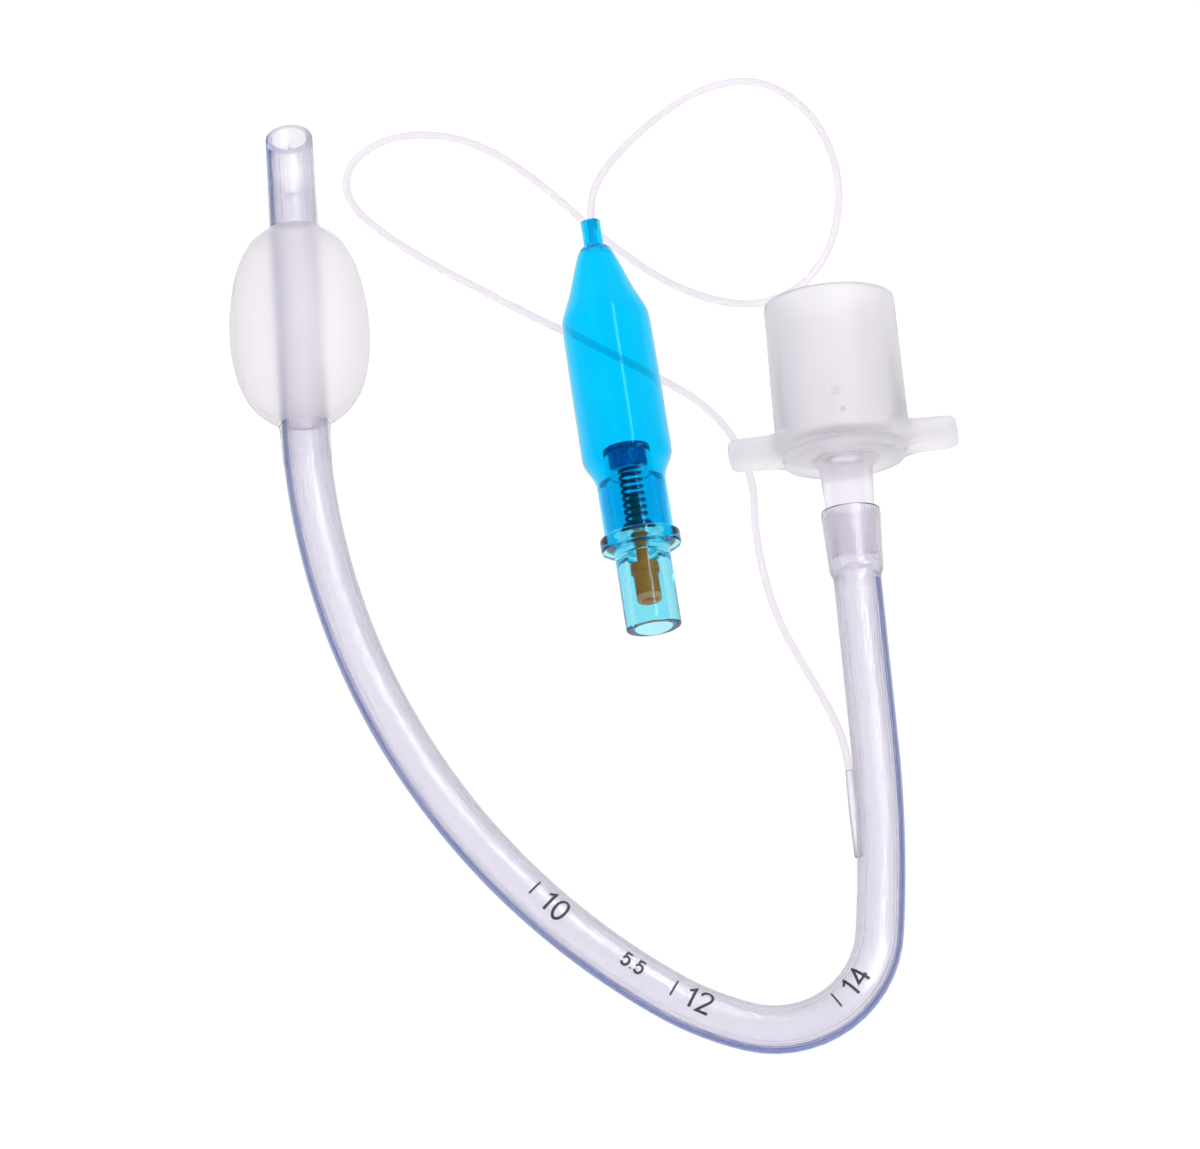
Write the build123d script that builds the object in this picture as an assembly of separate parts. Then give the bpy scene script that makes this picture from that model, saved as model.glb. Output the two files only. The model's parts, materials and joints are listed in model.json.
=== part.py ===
from build123d import *
from math import asin, cos, degrees, inf, pi, radians, sin, sqrt, tan
import os

# A cuffed, preformed oral endotracheal tube, lying on a table.
# The tube, cuff and connector are drawn in the tube's own plane and then laid to rest on three points:
# the outside of the bend, the cuff and the connector's flange. The pilot balloon and its valve are drawn
# along their own axis and laid down beside it. All sizes are in millimetres and all angles in degrees.

# Tube
tube_diameter = 5.5
wall_thickness = 0.75
tip_x = -35.15
tip_y = 53.2
tip_heading = -86.43
tip_run = 34.9
sweep_radius = 84.4
sweep_turn = 55.97
shoulder_radius = 35.2
shoulder_turn = 16.3
bend_radius = 11.9
bend_turn = 100.8
heel_radius = 148.7
heel_turn = 8.5
outlet_run = 19.5

# Tip: a bevel that faces up and an eye in the wall below it
bevel_angle = 45.0
tip_edge_radius = 0.25
eye_length = 5.3
eye_width = 2.8
eye_station = 3.6

# Tube end, stretched over the connector's spigot
stretched_wall = 0.7
flare_run = 2.6
flare_shoulder = 1.3
spigot_cover = 5.6

# Flat blue strip in the tube's wall, on the outside of the bend
strip_width = 1.7
strip_thickness = 0.5
strip_depth = 0.06

# Inflation channel in the tube's wall, on the inside of the bend
channel_diameter = 0.44
port_station = 23.0
port_length = 1.6
port_width = 0.7

# Cuff
cuff_diameter = 16.2
cuff_start = 11.3
cuff_widest = 23.6
cuff_wall = 0.2
upper_shoulder_diameter = 11.4
upper_shoulder_run = 2.4
lower_shoulder_diameter = 12.8
lower_shoulder_run = 3.1
upper_sleeve_length = 5.6
lower_sleeve_length = 4.8
sleeve_wall = 0.28
sleeve_edge = 0.12
bond_gap = 0.02

# Connector: cone of 1 in 40, winged flange, disc and spigot
cone_length = 16.1
rim_diameter = 15.1
cone_taper = 40.0
chamber_diameter = 12.6
chamber_floor = 1.4
funnel_depth = 1.2
flange_diameter = 15.9
flange_thickness = 2.2
wing_span = 26.4
wing_root_height = 9.0
wing_tip_height = 6.6
wing_corner = 1.7
wing_roll = -4.9
edge_round = 0.35
disc_diameter = 14.1
disc_thickness = 1.0
spigot_diameter = 6.2
spigot_end_diameter = 4.8
spigot_length = 11.6
spigot_bore = 3.7
spigot_fillet = 0.8
press_gap = 0.02

# Inflation line and its bonded end in the tube's wall
line_diameter = 0.86
bond_station = 167.4
bond_length = 10.4
bond_tip_diameter = 0.5
bond_sink = 0.25

# Pilot balloon
valve_heading = -81.5
flange_spot_x = 5.6
flange_spot_y = 4.6
neck_diameter = 2.3
neck_length = 3.1
neck_step_diameter = 3.1
cone_end_width = 10.2
cone_end_height = 8.8
cone_run = 9.0
swell_run = 14.2
balloon_diameter = 10.5
full_run = 2.8
shoulder_run = 2.8
balloon_wall = 0.35
sleeve_diameter = 8.0
sleeve_length = 6.8
line_socket = 2.8
line_passage = 0.5

# Valve housing, its retainer, spring, seal and plunger
flange_rim_diameter = 9.3
flange_rim_thickness = 1.6
luer_diameter = 6.4
luer_length = 9.6
luer_bore = 4.3
luer_taper = 0.06
mouth_chamfer = 0.22
barrel_diameter = 5.5
barrel_length = 10.0
barrel_bore = 4.4
seat_thickness = 1.9
seat_bore = 2.0
retainer_cap = 0.7
retainer_plug = 1.9
retainer_bore = 1.7
spring_diameter = 2.75
spring_wire = 0.32
spring_turns = 8
seal_diameter = 3.9
seal_thickness = 1.2
seal_lip = 0.4
seal_gap = 0.05
stem_diameter = 1.45
slide_gap = 0.03
guide_diameter = 1.15
guide_length = 3.2
plunger_travel = 1.5
stop_gap = 0.1
collar_diameter = 3.4
collar_thickness = 1.1
head_diameter = 2.95
head_length = 3.2
head_recess_diameter = 2.1
head_recess_depth = 0.3

# Route of the inflation line: down from the tube, over the table and up to the balloon's neck
line_exit_run = 3.0
line_neck_run = 1.9
line_bend_share = 0.45
line_down = [(26.4, -13.9, 3.7), (23.4, -8.2, 2.3), (20.6, -1.6, 0.9)]
line_lying = [
    (18.8, 6.9),
    (18.7, 14.8),
    (14.4, 22.7),
    (4.6, 28.5),
    (-9.4, 35.6),
    (-22.9, 43.4),
    (-29.3, 49.2),
    (-28.3, 54.7),
    (-21.9, 57.9),
    (-13.4, 56.6),
    (-5.9, 51.2),
    (1.1, 44.2),
    (10.2, 37.4),
    (19.9, 35.2),
    (27.0, 40.0),
    (29.6, 49.9),
    (26.9, 59.4),
    (20.1, 64.9),
]
line_up = [(12.3, 63.2, 1.0), (5.4, 56.6, 3.2), (1.2, 50.4, 6.2)]

tube_radius = tube_diameter / 2
bore_radius = tube_radius - wall_thickness
channel_offset = (tube_radius + bore_radius) / 2
strip_offset = tube_radius - strip_depth - strip_thickness / 2
bevel_lead = tube_radius / tan(radians(bevel_angle)) + 1
stretches = [
    (tip_run, inf),
    (sweep_radius * radians(sweep_turn), sweep_radius),
    (shoulder_radius * radians(shoulder_turn), shoulder_radius),
    (bend_radius * radians(bend_turn), bend_radius),
    (heel_radius * radians(heel_turn), heel_radius),
    (outlet_run, inf),
]

# Stations along the tube's line, from the middle of the bevelled tip
outlet_station = sum(length for length, radius in stretches)
spigot_station = outlet_station + flare_run
tube_end_station = spigot_station + spigot_cover
disc_station = spigot_station + spigot_length
flange_station = disc_station + disc_thickness + flange_thickness / 2

# Heights along the valve's axis, from the end of the balloon's neck
cone_height = neck_length + cone_run
full_height = cone_height + swell_run
shoulder_height = full_height + full_run
sleeve_height = shoulder_height + shoulder_run
rim_height = sleeve_height + sleeve_length
seat_height = rim_height + seat_thickness
mouth_height = rim_height + flange_rim_thickness + luer_length
barrel_height = rim_height - barrel_length
spring_height = barrel_height + retainer_plug
seal_height = rim_height - seal_gap - seal_thickness


def place(station):
    """Point on the tube's centreline and its heading, at a distance along it from the tip."""
    point, angle, left = Vector(tip_x, tip_y), tip_heading, station
    for number, (length, radius) in enumerate(stretches, start=1):
        step = left if number == len(stretches) else min(left, length)
        heading = Vector(1, 0).rotate(Axis.Z, angle)
        if radius == inf:
            point = point + heading * step
        else:
            side = heading.rotate(Axis.Z, 90)
            turn = degrees(step / radius)
            point = point + side * radius - side.rotate(Axis.Z, turn) * radius
            angle += turn
        left -= step
        if left <= 0:
            break
    return point, Vector(1, 0).rotate(Axis.Z, angle)


def run_beside(offset, start, stop):
    """Line beside the centreline, on the inside of the bend, from one station to another."""
    edges, begin = [], 0.0
    for length, radius in stretches:
        first = start if begin == 0.0 else max(start, begin)
        last = min(stop, begin + length)
        begin += length
        if last <= first:
            continue
        here, heading = place(first)
        point = here + heading.rotate(Axis.Z, 90) * offset
        if radius == inf:
            edges.append(Line(point, point + heading * (last - first)))
        else:
            edges.append(JernArc(point, heading, radius - offset, degrees((last - first) / radius)))
    return Wire(edges)


def rod_along(offset, diameter, start, stop):
    """Round rod that follows the tube's centreline at a distance beside it."""
    path = run_beside(offset, start, stop)
    return sweep(Plane(path @ 0, z_dir=path % 0) * Circle(diameter / 2), path=path)


def strip_along():
    """Flat oval rod that follows the tube's wall on the outside of the bend, longer than the tip."""
    path = run_beside(-strip_offset, -bevel_lead, outlet_station)
    start = Plane(path @ 0, x_dir=(path % 0).rotate(Axis.Z, 90), z_dir=path % 0)
    return sweep(start * Ellipse(strip_thickness / 2, strip_width / 2), path=path)


def cross_plane(station):
    """Plane square to the tube, its normal towards the connector and its X to the inside of the bend."""
    point, heading = place(station)
    return Plane(point, x_dir=heading.rotate(Axis.Z, 90), z_dir=heading)


def turned(*outline):
    """Solid of revolution from (radius, height) points joined by straight lines."""
    return revolve(Plane.XZ * make_face(Polyline(*outline, close=True)), Axis.Z)


def barrel(radius, low, high):
    """Plain round solid about the axis, from one height to another."""
    return Pos(0, 0, low) * extrude(Circle(radius), high - low)


def bevelled(shape):
    """What the bevelled cut at the tip leaves of a shape."""
    point, heading = place(0)
    tilt = radians(bevel_angle)
    facing = Vector(0, 0, cos(tilt)) - heading * sin(tilt)
    return split(shape, bisect_by=Plane(point, z_dir=facing), keep=Keep.BOTTOM), facing


def spigot_radius(height):
    """Outer radius of the spigot at a height from its free end."""
    return (spigot_end_diameter + (spigot_diameter - spigot_end_diameter) * height / spigot_length) / 2


def tube_shaft():
    """Clear tube with bore, bevelled tip, eye, inflation channel and an end stretched over the spigot."""
    body = rod_along(0, tube_diameter, -bevel_lead, outlet_station)
    shaft, facing = bevelled(body - rod_along(0, 2 * bore_radius, -bevel_lead, outlet_station))
    point, heading = place(0)
    rims = shaft.faces().sort_by(Axis(point, facing))[-1].edges()
    shaft = fillet(rims, tip_edge_radius)
    foot = spigot_end_diameter / 2 + press_gap
    top = spigot_radius(spigot_cover) + press_gap
    end = turned(
        (bore_radius, 0),
        (tube_radius, 0),
        (foot + stretched_wall, flare_shoulder),
        (top + stretched_wall, flare_run + spigot_cover),
        (top, flare_run + spigot_cover),
        (foot, flare_run),
        (foot, flare_run - press_gap),
        (bore_radius, flare_run / 2),
    )
    shaft += cross_plane(outlet_station) * end
    eye = Plane(place(eye_station)[0], x_dir=heading) * Ellipse(eye_length / 2, eye_width / 2)
    shaft -= extrude(eye, -tube_diameter)
    shaft -= strip_along()
    shaft -= rod_along(channel_offset, channel_diameter, port_station, bond_station - bond_length / 2)
    port = cross_plane(port_station) * Pos(channel_offset + tube_radius / 2, 0, port_length / 2)
    shaft -= port * Box(tube_radius, port_width, port_length)
    return shaft - line_bond()


def radiopaque_line():
    """Blue strip that is extruded into the tube's wall and cut off with its bevelled tip."""
    strip, facing = bevelled(strip_along())
    return strip


def bond_ends():
    """Middle of the line's bonded end in the tube's wall, at its tip and at its mouth."""
    low, high = cross_plane(bond_station - bond_length), cross_plane(bond_station)
    tip = low.from_local_coords(Vector(tube_radius + bond_tip_diameter / 2 - bond_sink, 0, 0))
    mouth = high.from_local_coords(Vector(tube_radius + line_diameter / 2 + bond_gap, 0, 0))
    return tip, mouth


def line_bond():
    """End of the inflation line, bonded into the tube's wall and tapering into its channel."""
    tip, mouth = bond_ends()
    length = (mouth - tip).length
    rod = turned(
        (0, 0),
        (bond_tip_diameter / 2, 0),
        (line_diameter / 2, length / 2),
        (line_diameter / 2, length),
        (0, length),
    )
    return Plane(tip, z_dir=mouth - tip) * rod


def cuff():
    """Thin inflated cuff, bonded to the tube by a sleeve at each end."""
    inside = tube_diameter / 2 + bond_gap
    sleeve = inside + sleeve_wall
    length = tip_run - cuff_start
    shoulders = [
        (upper_shoulder_diameter / 2, upper_shoulder_run, cuff_wall),
        (cuff_diameter / 2, cuff_widest - cuff_start, 0),
        (lower_shoulder_diameter / 2, length - lower_shoulder_run, -cuff_wall),
    ]
    outer = [(radius, height) for radius, height, shift in shoulders]
    inner = [(radius - cuff_wall, height + shift) for radius, height, shift in reversed(shoulders)]
    skin = make_face(Wire([
        Spline((sleeve, 0), *outer, (sleeve, length)),
        Line((sleeve, length), (inside, length)),
        Line((inside, length), (inside, length - cuff_wall)),
        Spline((inside, length - cuff_wall), *inner, (inside, cuff_wall)),
        Line((inside, cuff_wall), (inside, 0)),
        Line((inside, 0), (sleeve, 0)),
    ]))
    upper = turned(
        (inside, -upper_sleeve_length), (inside + sleeve_edge, -upper_sleeve_length), (sleeve, 0), (inside, 0)
    )
    lower = rod_along(0, 2 * sleeve, tip_run, tip_run + lower_sleeve_length)
    lower -= rod_along(0, 2 * inside, tip_run, tip_run + lower_sleeve_length)
    return cross_plane(cuff_start) * (revolve(Plane.XZ * skin, Axis.Z) + upper) + lower


def wing_plate():
    """Round flange plate with a wing on each side, its corners rounded."""
    plate = Sketch() + Circle(flange_diameter / 2)
    for side in (-1, 1):
        tip = side * wing_span / 2
        wing = make_face(Polyline(
            (0, -wing_root_height / 2), (tip, -wing_tip_height / 2), (tip, wing_tip_height / 2),
            (0, wing_root_height / 2), close=True,
        ))
        corners = wing.vertices().group_by(Axis.X)[-1 if side > 0 else 0]
        plate += fillet(corners, wing_corner)
    return extrude(plate, flange_thickness)


def connector():
    """Connector with a 1 in 40 cone, winged flange, disc and spigot, open right through."""
    rim = rim_diameter / 2
    plate_base = disc_thickness
    cone_base = plate_base + flange_thickness
    top = cone_base + cone_length
    plate = wing_plate()
    plate = fillet(plate.faces().filter_by(Axis.Z).edges(), edge_round)
    shape = Pos(0, 0, plate_base) * Rot(0, 0, wing_roll) * plate
    cone = turned((0, cone_base), (rim + cone_length / cone_taper / 2, cone_base), (rim, top), (0, top))
    shape += fillet(cone.edges().sort_by(Axis.Z)[-1], edge_round)
    disc = barrel(disc_diameter / 2, 0, plate_base)
    shape += fillet(disc.edges().sort_by(Axis.Z)[0], edge_round)
    spigot = turned(
        (0, -spigot_length), (spigot_end_diameter / 2, -spigot_length), (spigot_diameter / 2, 0), (0, 0)
    )
    shape += spigot
    root = [e for e in shape.edges().filter_by(GeomType.CIRCLE) if abs(e.radius - spigot_diameter / 2) < 0.01]
    shape = fillet(root, spigot_fillet)
    floor = plate_base + chamber_floor
    shape -= turned(
        (0, -spigot_length - 1),
        (spigot_bore / 2, -spigot_length - 1),
        (spigot_bore / 2, floor - funnel_depth),
        (spigot_bore / 2 + funnel_depth, floor),
        (chamber_diameter / 2, floor),
        (chamber_diameter / 2, top + 1),
        (0, top + 1),
    )
    return cross_plane(disc_station) * shape


def laid_plane():
    """The tube's own plane, laid on the outside of its bend, its cuff and its connector's flange."""
    samples = [place(tube_end_station * share / 400)[0] for share in range(401)]
    bend = min(samples, key=lambda point: point.Y)
    cuff_spot = place(cuff_widest)[0] - bend
    flange_spot = place(flange_station)[0] - bend
    cuff_rise = (cuff_diameter - tube_diameter) / 2
    flange_rise = (flange_diameter - tube_diameter) / 2
    area = cuff_spot.X * flange_spot.Y - flange_spot.X * cuff_spot.Y
    x_rise = (cuff_rise * flange_spot.Y - flange_rise * cuff_spot.Y) / area
    y_rise = (cuff_spot.X * flange_rise - flange_spot.X * cuff_rise) / area
    x_dir = Vector(sqrt(1 - x_rise**2), 0, x_rise)
    y_sideways = -y_rise * x_rise / x_dir.X
    y_dir = Vector(y_sideways, sqrt(1 - y_sideways**2 - y_rise**2), y_rise)
    origin = Vector(bend.X, bend.Y, tube_radius) - x_dir * bend.X - y_dir * bend.Y
    return Plane(origin, x_dir=x_dir, z_dir=x_dir.cross(y_dir))


def valve_plane():
    """Plane at the end of the balloon's neck, its normal along the axis to the luer mouth."""
    middle = rim_height + flange_rim_thickness / 2
    pitch = asin((balloon_diameter - flange_rim_diameter) / 2 / (middle - shoulder_height))
    level = Vector(1, 0, 0).rotate(Axis.Z, valve_heading)
    axis = level * cos(pitch) - Vector(0, 0, sin(pitch))
    rim = Vector(flange_spot_x, flange_spot_y, flange_rim_diameter / 2)
    return Plane(rim - axis * middle, x_dir=level.rotate(Axis.Z, 90), z_dir=axis)


def balloon_form(inset):
    """Outside of the balloon without its neck, or its inside where it is drawn in by the wall."""
    def oval(height, width, depth):
        return Pos(0, 0, height) * Ellipse(width / 2 - inset, depth / 2 - inset)

    full = balloon_diameter / 2 - inset
    sleeve = sleeve_diameter / 2 - inset
    cone_end = oval(cone_height, cone_end_width, cone_end_height)
    form = loft([oval(neck_length + inset, neck_step_diameter, neck_step_diameter), cone_end], ruled=True)
    form += loft([cone_end, oval(full_height, balloon_diameter, balloon_diameter)], ruled=True)
    form += turned(
        (0, full_height), (full, full_height), (full, shoulder_height), (sleeve, sleeve_height),
        (sleeve, rim_height), (0, rim_height),
    )
    return form


def pilot_balloon():
    """Thin balloon with a neck for the line, a flattened cone and a sleeve for the valve."""
    form = balloon_form(0) + barrel(neck_diameter / 2, 0, neck_length)
    form -= balloon_form(balloon_wall)
    form -= barrel(line_diameter / 2 + bond_gap, -1, line_socket)
    return form - barrel(line_passage / 2, 0, neck_length + 1)


def valve_housing():
    """Luer socket, flange, spigot for the balloon's sleeve and spring barrel in one moulding."""
    spigot = sleeve_diameter / 2 - balloon_wall - bond_gap
    rim = flange_rim_diameter / 2
    luer_base = rim_height + flange_rim_thickness
    luer, bore = luer_diameter / 2, luer_bore / 2
    floor = bore - (mouth_height - seat_height) * luer_taper / 2
    shape = turned(
        (0, barrel_height), (barrel_diameter / 2, barrel_height), (barrel_diameter / 2, sleeve_height),
        (spigot, sleeve_height), (spigot, rim_height), (rim, rim_height), (rim, luer_base),
        (luer, luer_base), (luer, mouth_height), (0, mouth_height),
    )
    shape -= barrel(barrel_bore / 2, barrel_height - 1, rim_height)
    shape -= barrel(seat_bore / 2, rim_height - 1, seat_height + 1)
    shape -= turned(
        (0, seat_height), (floor, seat_height), (bore, mouth_height), (0, mouth_height)
    )
    return shape - turned(
        (0, mouth_height - mouth_chamfer), (bore, mouth_height - mouth_chamfer),
        (bore + mouth_chamfer, mouth_height), (0, mouth_height),
    )


def valve_retainer():
    """Cap with a plug that closes the barrel's inner end and backs the spring."""
    cap = barrel(barrel_diameter / 2, barrel_height - retainer_cap, barrel_height)
    plug = barrel(barrel_bore / 2 - bond_gap, barrel_height, spring_height)
    return cap + plug - barrel(retainer_bore / 2, barrel_height - retainer_cap - 1, spring_height + 1)


def valve_spring():
    """Coil spring between the retainer and the seal."""
    length = seal_height - spring_height - spring_wire - 2 * seal_gap
    path = Helix(length / spring_turns, length, (spring_diameter - spring_wire) / 2)
    wire = sweep(Plane(path @ 0, z_dir=path % 0) * Circle(spring_wire / 2), path=path, is_frenet=True)
    return Pos(0, 0, spring_height + spring_wire / 2 + seal_gap) * wire


def valve_seal():
    """Soft seal on the plunger's stem, its lip just off the seat."""
    top, lip = seal_height, seal_height + seal_thickness
    inside, outside = stem_diameter / 2 + slide_gap, seal_diameter / 2
    return turned((inside, top), (outside - seal_lip, top), (outside, lip - seal_lip), (outside, lip), (inside, lip))


def valve_plunger():
    """Plunger with guide pin, stem, collar and head, which a luer tip pushes in."""
    collar = seat_height + plunger_travel + stop_gap
    head = collar + collar_thickness
    end = head + head_length
    shape = turned(
        (0, seal_height - guide_length), (guide_diameter / 2, seal_height - guide_length),
        (guide_diameter / 2, seal_height), (stem_diameter / 2, seal_height), (stem_diameter / 2, collar),
        (collar_diameter / 2, collar), (collar_diameter / 2, head), (head_diameter / 2, head),
        (head_diameter / 2, end), (0, end),
    )
    return shape - barrel(head_recess_diameter / 2, end - head_recess_depth, end + 1)


def line_points(tube_plane, balloon_plane):
    """The line's whole route, from the tube's wall to the bottom of its socket in the balloon's neck."""
    tip, mouth = (tube_plane.from_local_coords(point) for point in bond_ends())
    exit_point = mouth + (mouth - tip).normalized() * line_exit_run
    before_neck = balloon_plane.from_local_coords(Vector(0, 0, -line_neck_run))
    socket = balloon_plane.from_local_coords(Vector(0, 0, line_socket))
    lying = [(x, y, line_diameter / 2) for x, y in line_lying]
    route = [Vector(*point) for point in [*line_down, *lying, *line_up]]
    return [mouth, exit_point, *route, before_neck, socket]


def inflation_line(points):
    """Free line as straight runs joined by tangent arcs, as large as the runs allow."""
    radii = []
    for before, point, after in zip(points, points[1:], points[2:]):
        arriving, leaving = point - before, after - point
        half_turn = radians(arriving.get_angle(leaving)) / 2
        radii.append(line_bend_share * min(arriving.length, leaving.length) / tan(half_turn))
    path = FilletPolyline(*points, radius=radii)
    line = sweep(Plane(path @ 0, z_dir=path % 0) * Circle(line_diameter / 2), path=path)
    print("line radii in diameters", [round(radius / line_diameter, 1) for radius in radii])
    print("line volume over section times length", line.volume / (path.length * pi * line_diameter**2 / 4))
    print("line length", round(path.length, 2))
    return line


def main():
    """Build every piece, lay it in its place and write it to its own file."""
    tube_plane, balloon_plane = laid_plane(), valve_plane()
    on_tube = [tube_shaft, radiopaque_line, cuff, connector, line_bond]
    on_valve = [pilot_balloon, valve_housing, valve_retainer, valve_spring, valve_seal, valve_plunger]
    pieces = {make.__name__: tube_plane.location * make() for make in on_tube}
    pieces.update({make.__name__: balloon_plane.location * make() for make in on_valve})
    points = line_points(tube_plane, balloon_plane)
    pieces["inflation_line"] = inflation_line(points)
    os.makedirs("parts", exist_ok=True)
    for name, shape in pieces.items():
        export_step(shape, f"parts/{name}.step")
    print("valve axis", balloon_plane.z_dir, "from", balloon_plane.origin)
    print("route", [tuple(round(value, 2) for value in point) for point in points])


main()
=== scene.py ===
"""Cuffed, preformed oral endotracheal tube, dressed for a bright studio table.

Lengths in the dataclasses are in millimetres, as on the drawing, apart from those of the lamps.
They are turned into metres where a mesh is made.
"""

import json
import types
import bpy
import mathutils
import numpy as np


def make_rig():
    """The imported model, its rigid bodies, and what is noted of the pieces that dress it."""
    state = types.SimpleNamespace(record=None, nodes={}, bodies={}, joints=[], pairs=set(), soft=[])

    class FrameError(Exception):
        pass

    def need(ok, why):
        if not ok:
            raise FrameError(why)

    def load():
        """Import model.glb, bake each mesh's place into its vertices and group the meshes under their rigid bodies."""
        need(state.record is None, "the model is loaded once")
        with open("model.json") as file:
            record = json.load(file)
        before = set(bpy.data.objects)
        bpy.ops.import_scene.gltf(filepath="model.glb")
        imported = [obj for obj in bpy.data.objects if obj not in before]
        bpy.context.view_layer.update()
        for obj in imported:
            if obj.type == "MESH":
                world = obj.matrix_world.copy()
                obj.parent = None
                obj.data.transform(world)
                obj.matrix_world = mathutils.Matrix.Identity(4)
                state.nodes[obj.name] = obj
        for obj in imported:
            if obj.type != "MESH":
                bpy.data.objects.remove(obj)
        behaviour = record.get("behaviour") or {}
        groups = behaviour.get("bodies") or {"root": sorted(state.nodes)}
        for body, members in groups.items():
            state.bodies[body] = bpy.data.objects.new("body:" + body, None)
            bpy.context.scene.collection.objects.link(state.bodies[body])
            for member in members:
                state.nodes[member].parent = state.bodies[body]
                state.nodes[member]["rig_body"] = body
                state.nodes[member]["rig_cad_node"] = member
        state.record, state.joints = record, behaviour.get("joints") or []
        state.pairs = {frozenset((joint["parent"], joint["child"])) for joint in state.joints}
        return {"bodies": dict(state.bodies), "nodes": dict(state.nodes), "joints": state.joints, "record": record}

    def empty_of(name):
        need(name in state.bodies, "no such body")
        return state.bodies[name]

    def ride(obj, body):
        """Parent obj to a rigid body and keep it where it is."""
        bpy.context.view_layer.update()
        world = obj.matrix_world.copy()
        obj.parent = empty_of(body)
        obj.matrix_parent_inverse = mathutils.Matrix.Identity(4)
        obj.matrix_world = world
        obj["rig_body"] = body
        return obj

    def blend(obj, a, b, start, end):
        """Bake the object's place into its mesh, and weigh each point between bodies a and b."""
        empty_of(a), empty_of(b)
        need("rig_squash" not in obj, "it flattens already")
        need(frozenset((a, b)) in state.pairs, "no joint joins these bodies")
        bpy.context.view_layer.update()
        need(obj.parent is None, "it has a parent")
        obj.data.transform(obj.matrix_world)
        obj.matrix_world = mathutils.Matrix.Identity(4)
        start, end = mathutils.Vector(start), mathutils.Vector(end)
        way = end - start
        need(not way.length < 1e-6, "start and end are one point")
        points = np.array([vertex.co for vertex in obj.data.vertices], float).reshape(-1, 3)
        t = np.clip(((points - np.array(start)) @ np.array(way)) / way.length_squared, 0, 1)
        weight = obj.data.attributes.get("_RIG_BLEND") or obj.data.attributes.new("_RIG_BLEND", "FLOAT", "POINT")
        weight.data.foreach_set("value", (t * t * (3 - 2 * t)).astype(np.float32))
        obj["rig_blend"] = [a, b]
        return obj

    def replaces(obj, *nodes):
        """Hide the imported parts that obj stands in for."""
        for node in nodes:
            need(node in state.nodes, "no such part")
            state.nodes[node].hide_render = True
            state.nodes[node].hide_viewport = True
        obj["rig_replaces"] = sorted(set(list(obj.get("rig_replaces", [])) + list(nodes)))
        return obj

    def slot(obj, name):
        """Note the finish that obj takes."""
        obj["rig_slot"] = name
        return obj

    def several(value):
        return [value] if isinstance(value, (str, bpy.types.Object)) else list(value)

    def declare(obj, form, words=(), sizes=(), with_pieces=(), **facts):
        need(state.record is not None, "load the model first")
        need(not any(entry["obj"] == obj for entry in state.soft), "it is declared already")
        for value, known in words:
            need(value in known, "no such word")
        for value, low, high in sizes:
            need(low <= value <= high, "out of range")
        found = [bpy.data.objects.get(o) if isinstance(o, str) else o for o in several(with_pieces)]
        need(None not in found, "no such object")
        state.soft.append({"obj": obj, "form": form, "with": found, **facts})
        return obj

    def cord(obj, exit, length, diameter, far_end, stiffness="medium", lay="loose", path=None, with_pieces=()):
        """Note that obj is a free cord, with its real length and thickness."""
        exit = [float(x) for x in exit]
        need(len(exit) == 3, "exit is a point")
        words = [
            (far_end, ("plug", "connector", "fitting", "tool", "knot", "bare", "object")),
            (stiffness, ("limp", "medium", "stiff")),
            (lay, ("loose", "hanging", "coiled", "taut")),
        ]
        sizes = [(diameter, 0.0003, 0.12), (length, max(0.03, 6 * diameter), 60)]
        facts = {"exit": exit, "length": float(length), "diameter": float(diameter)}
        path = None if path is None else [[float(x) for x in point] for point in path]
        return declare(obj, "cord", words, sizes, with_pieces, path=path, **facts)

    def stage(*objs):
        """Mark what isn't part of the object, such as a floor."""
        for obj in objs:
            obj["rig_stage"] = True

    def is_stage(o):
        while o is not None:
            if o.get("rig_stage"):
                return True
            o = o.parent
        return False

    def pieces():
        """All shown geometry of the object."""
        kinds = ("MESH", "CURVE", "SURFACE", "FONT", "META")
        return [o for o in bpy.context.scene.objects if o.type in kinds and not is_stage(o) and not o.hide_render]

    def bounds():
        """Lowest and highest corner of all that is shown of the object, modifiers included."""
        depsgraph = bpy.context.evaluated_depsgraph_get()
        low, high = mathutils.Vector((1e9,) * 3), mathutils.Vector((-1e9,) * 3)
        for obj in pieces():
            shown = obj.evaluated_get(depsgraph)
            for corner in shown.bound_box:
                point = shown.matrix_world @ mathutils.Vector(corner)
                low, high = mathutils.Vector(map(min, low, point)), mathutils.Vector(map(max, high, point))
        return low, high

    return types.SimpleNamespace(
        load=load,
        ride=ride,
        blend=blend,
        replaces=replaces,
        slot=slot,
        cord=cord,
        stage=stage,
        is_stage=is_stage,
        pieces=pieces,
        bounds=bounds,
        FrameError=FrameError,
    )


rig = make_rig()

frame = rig.load()

import json
import logging
from collections.abc import Callable, Iterable, Sequence
from dataclasses import dataclass, field
from enum import Enum
from math import asin, cos, inf, pi, radians, sin, sqrt

import bmesh
import bpy
from mathutils import Matrix, Vector

MM = 0.001
CAD_BOX = [list(corner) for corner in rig.bounds()]
LIE = "lie_along_tube"
# A drawn surface: how fine its streaks are round the piece, and how long they are.
STREAKS_ROUND = 3
STREAK_LENGTH = 240 * MM
# Any surface: how much finer its specks are than its patches, and how much they add to its height.
SPECKS_PER_PATCH = 4
SPECK_HEIGHT = 0.3
log = logging.getLogger("endotracheal_tube")

Point = tuple[float, float]
Triple = tuple[float, float, float]
Outline = Sequence[Point]
Ring = list[Vector]
Piece = bpy.types.Object
Material = bpy.types.Material
NodeTree = bpy.types.NodeTree


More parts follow.
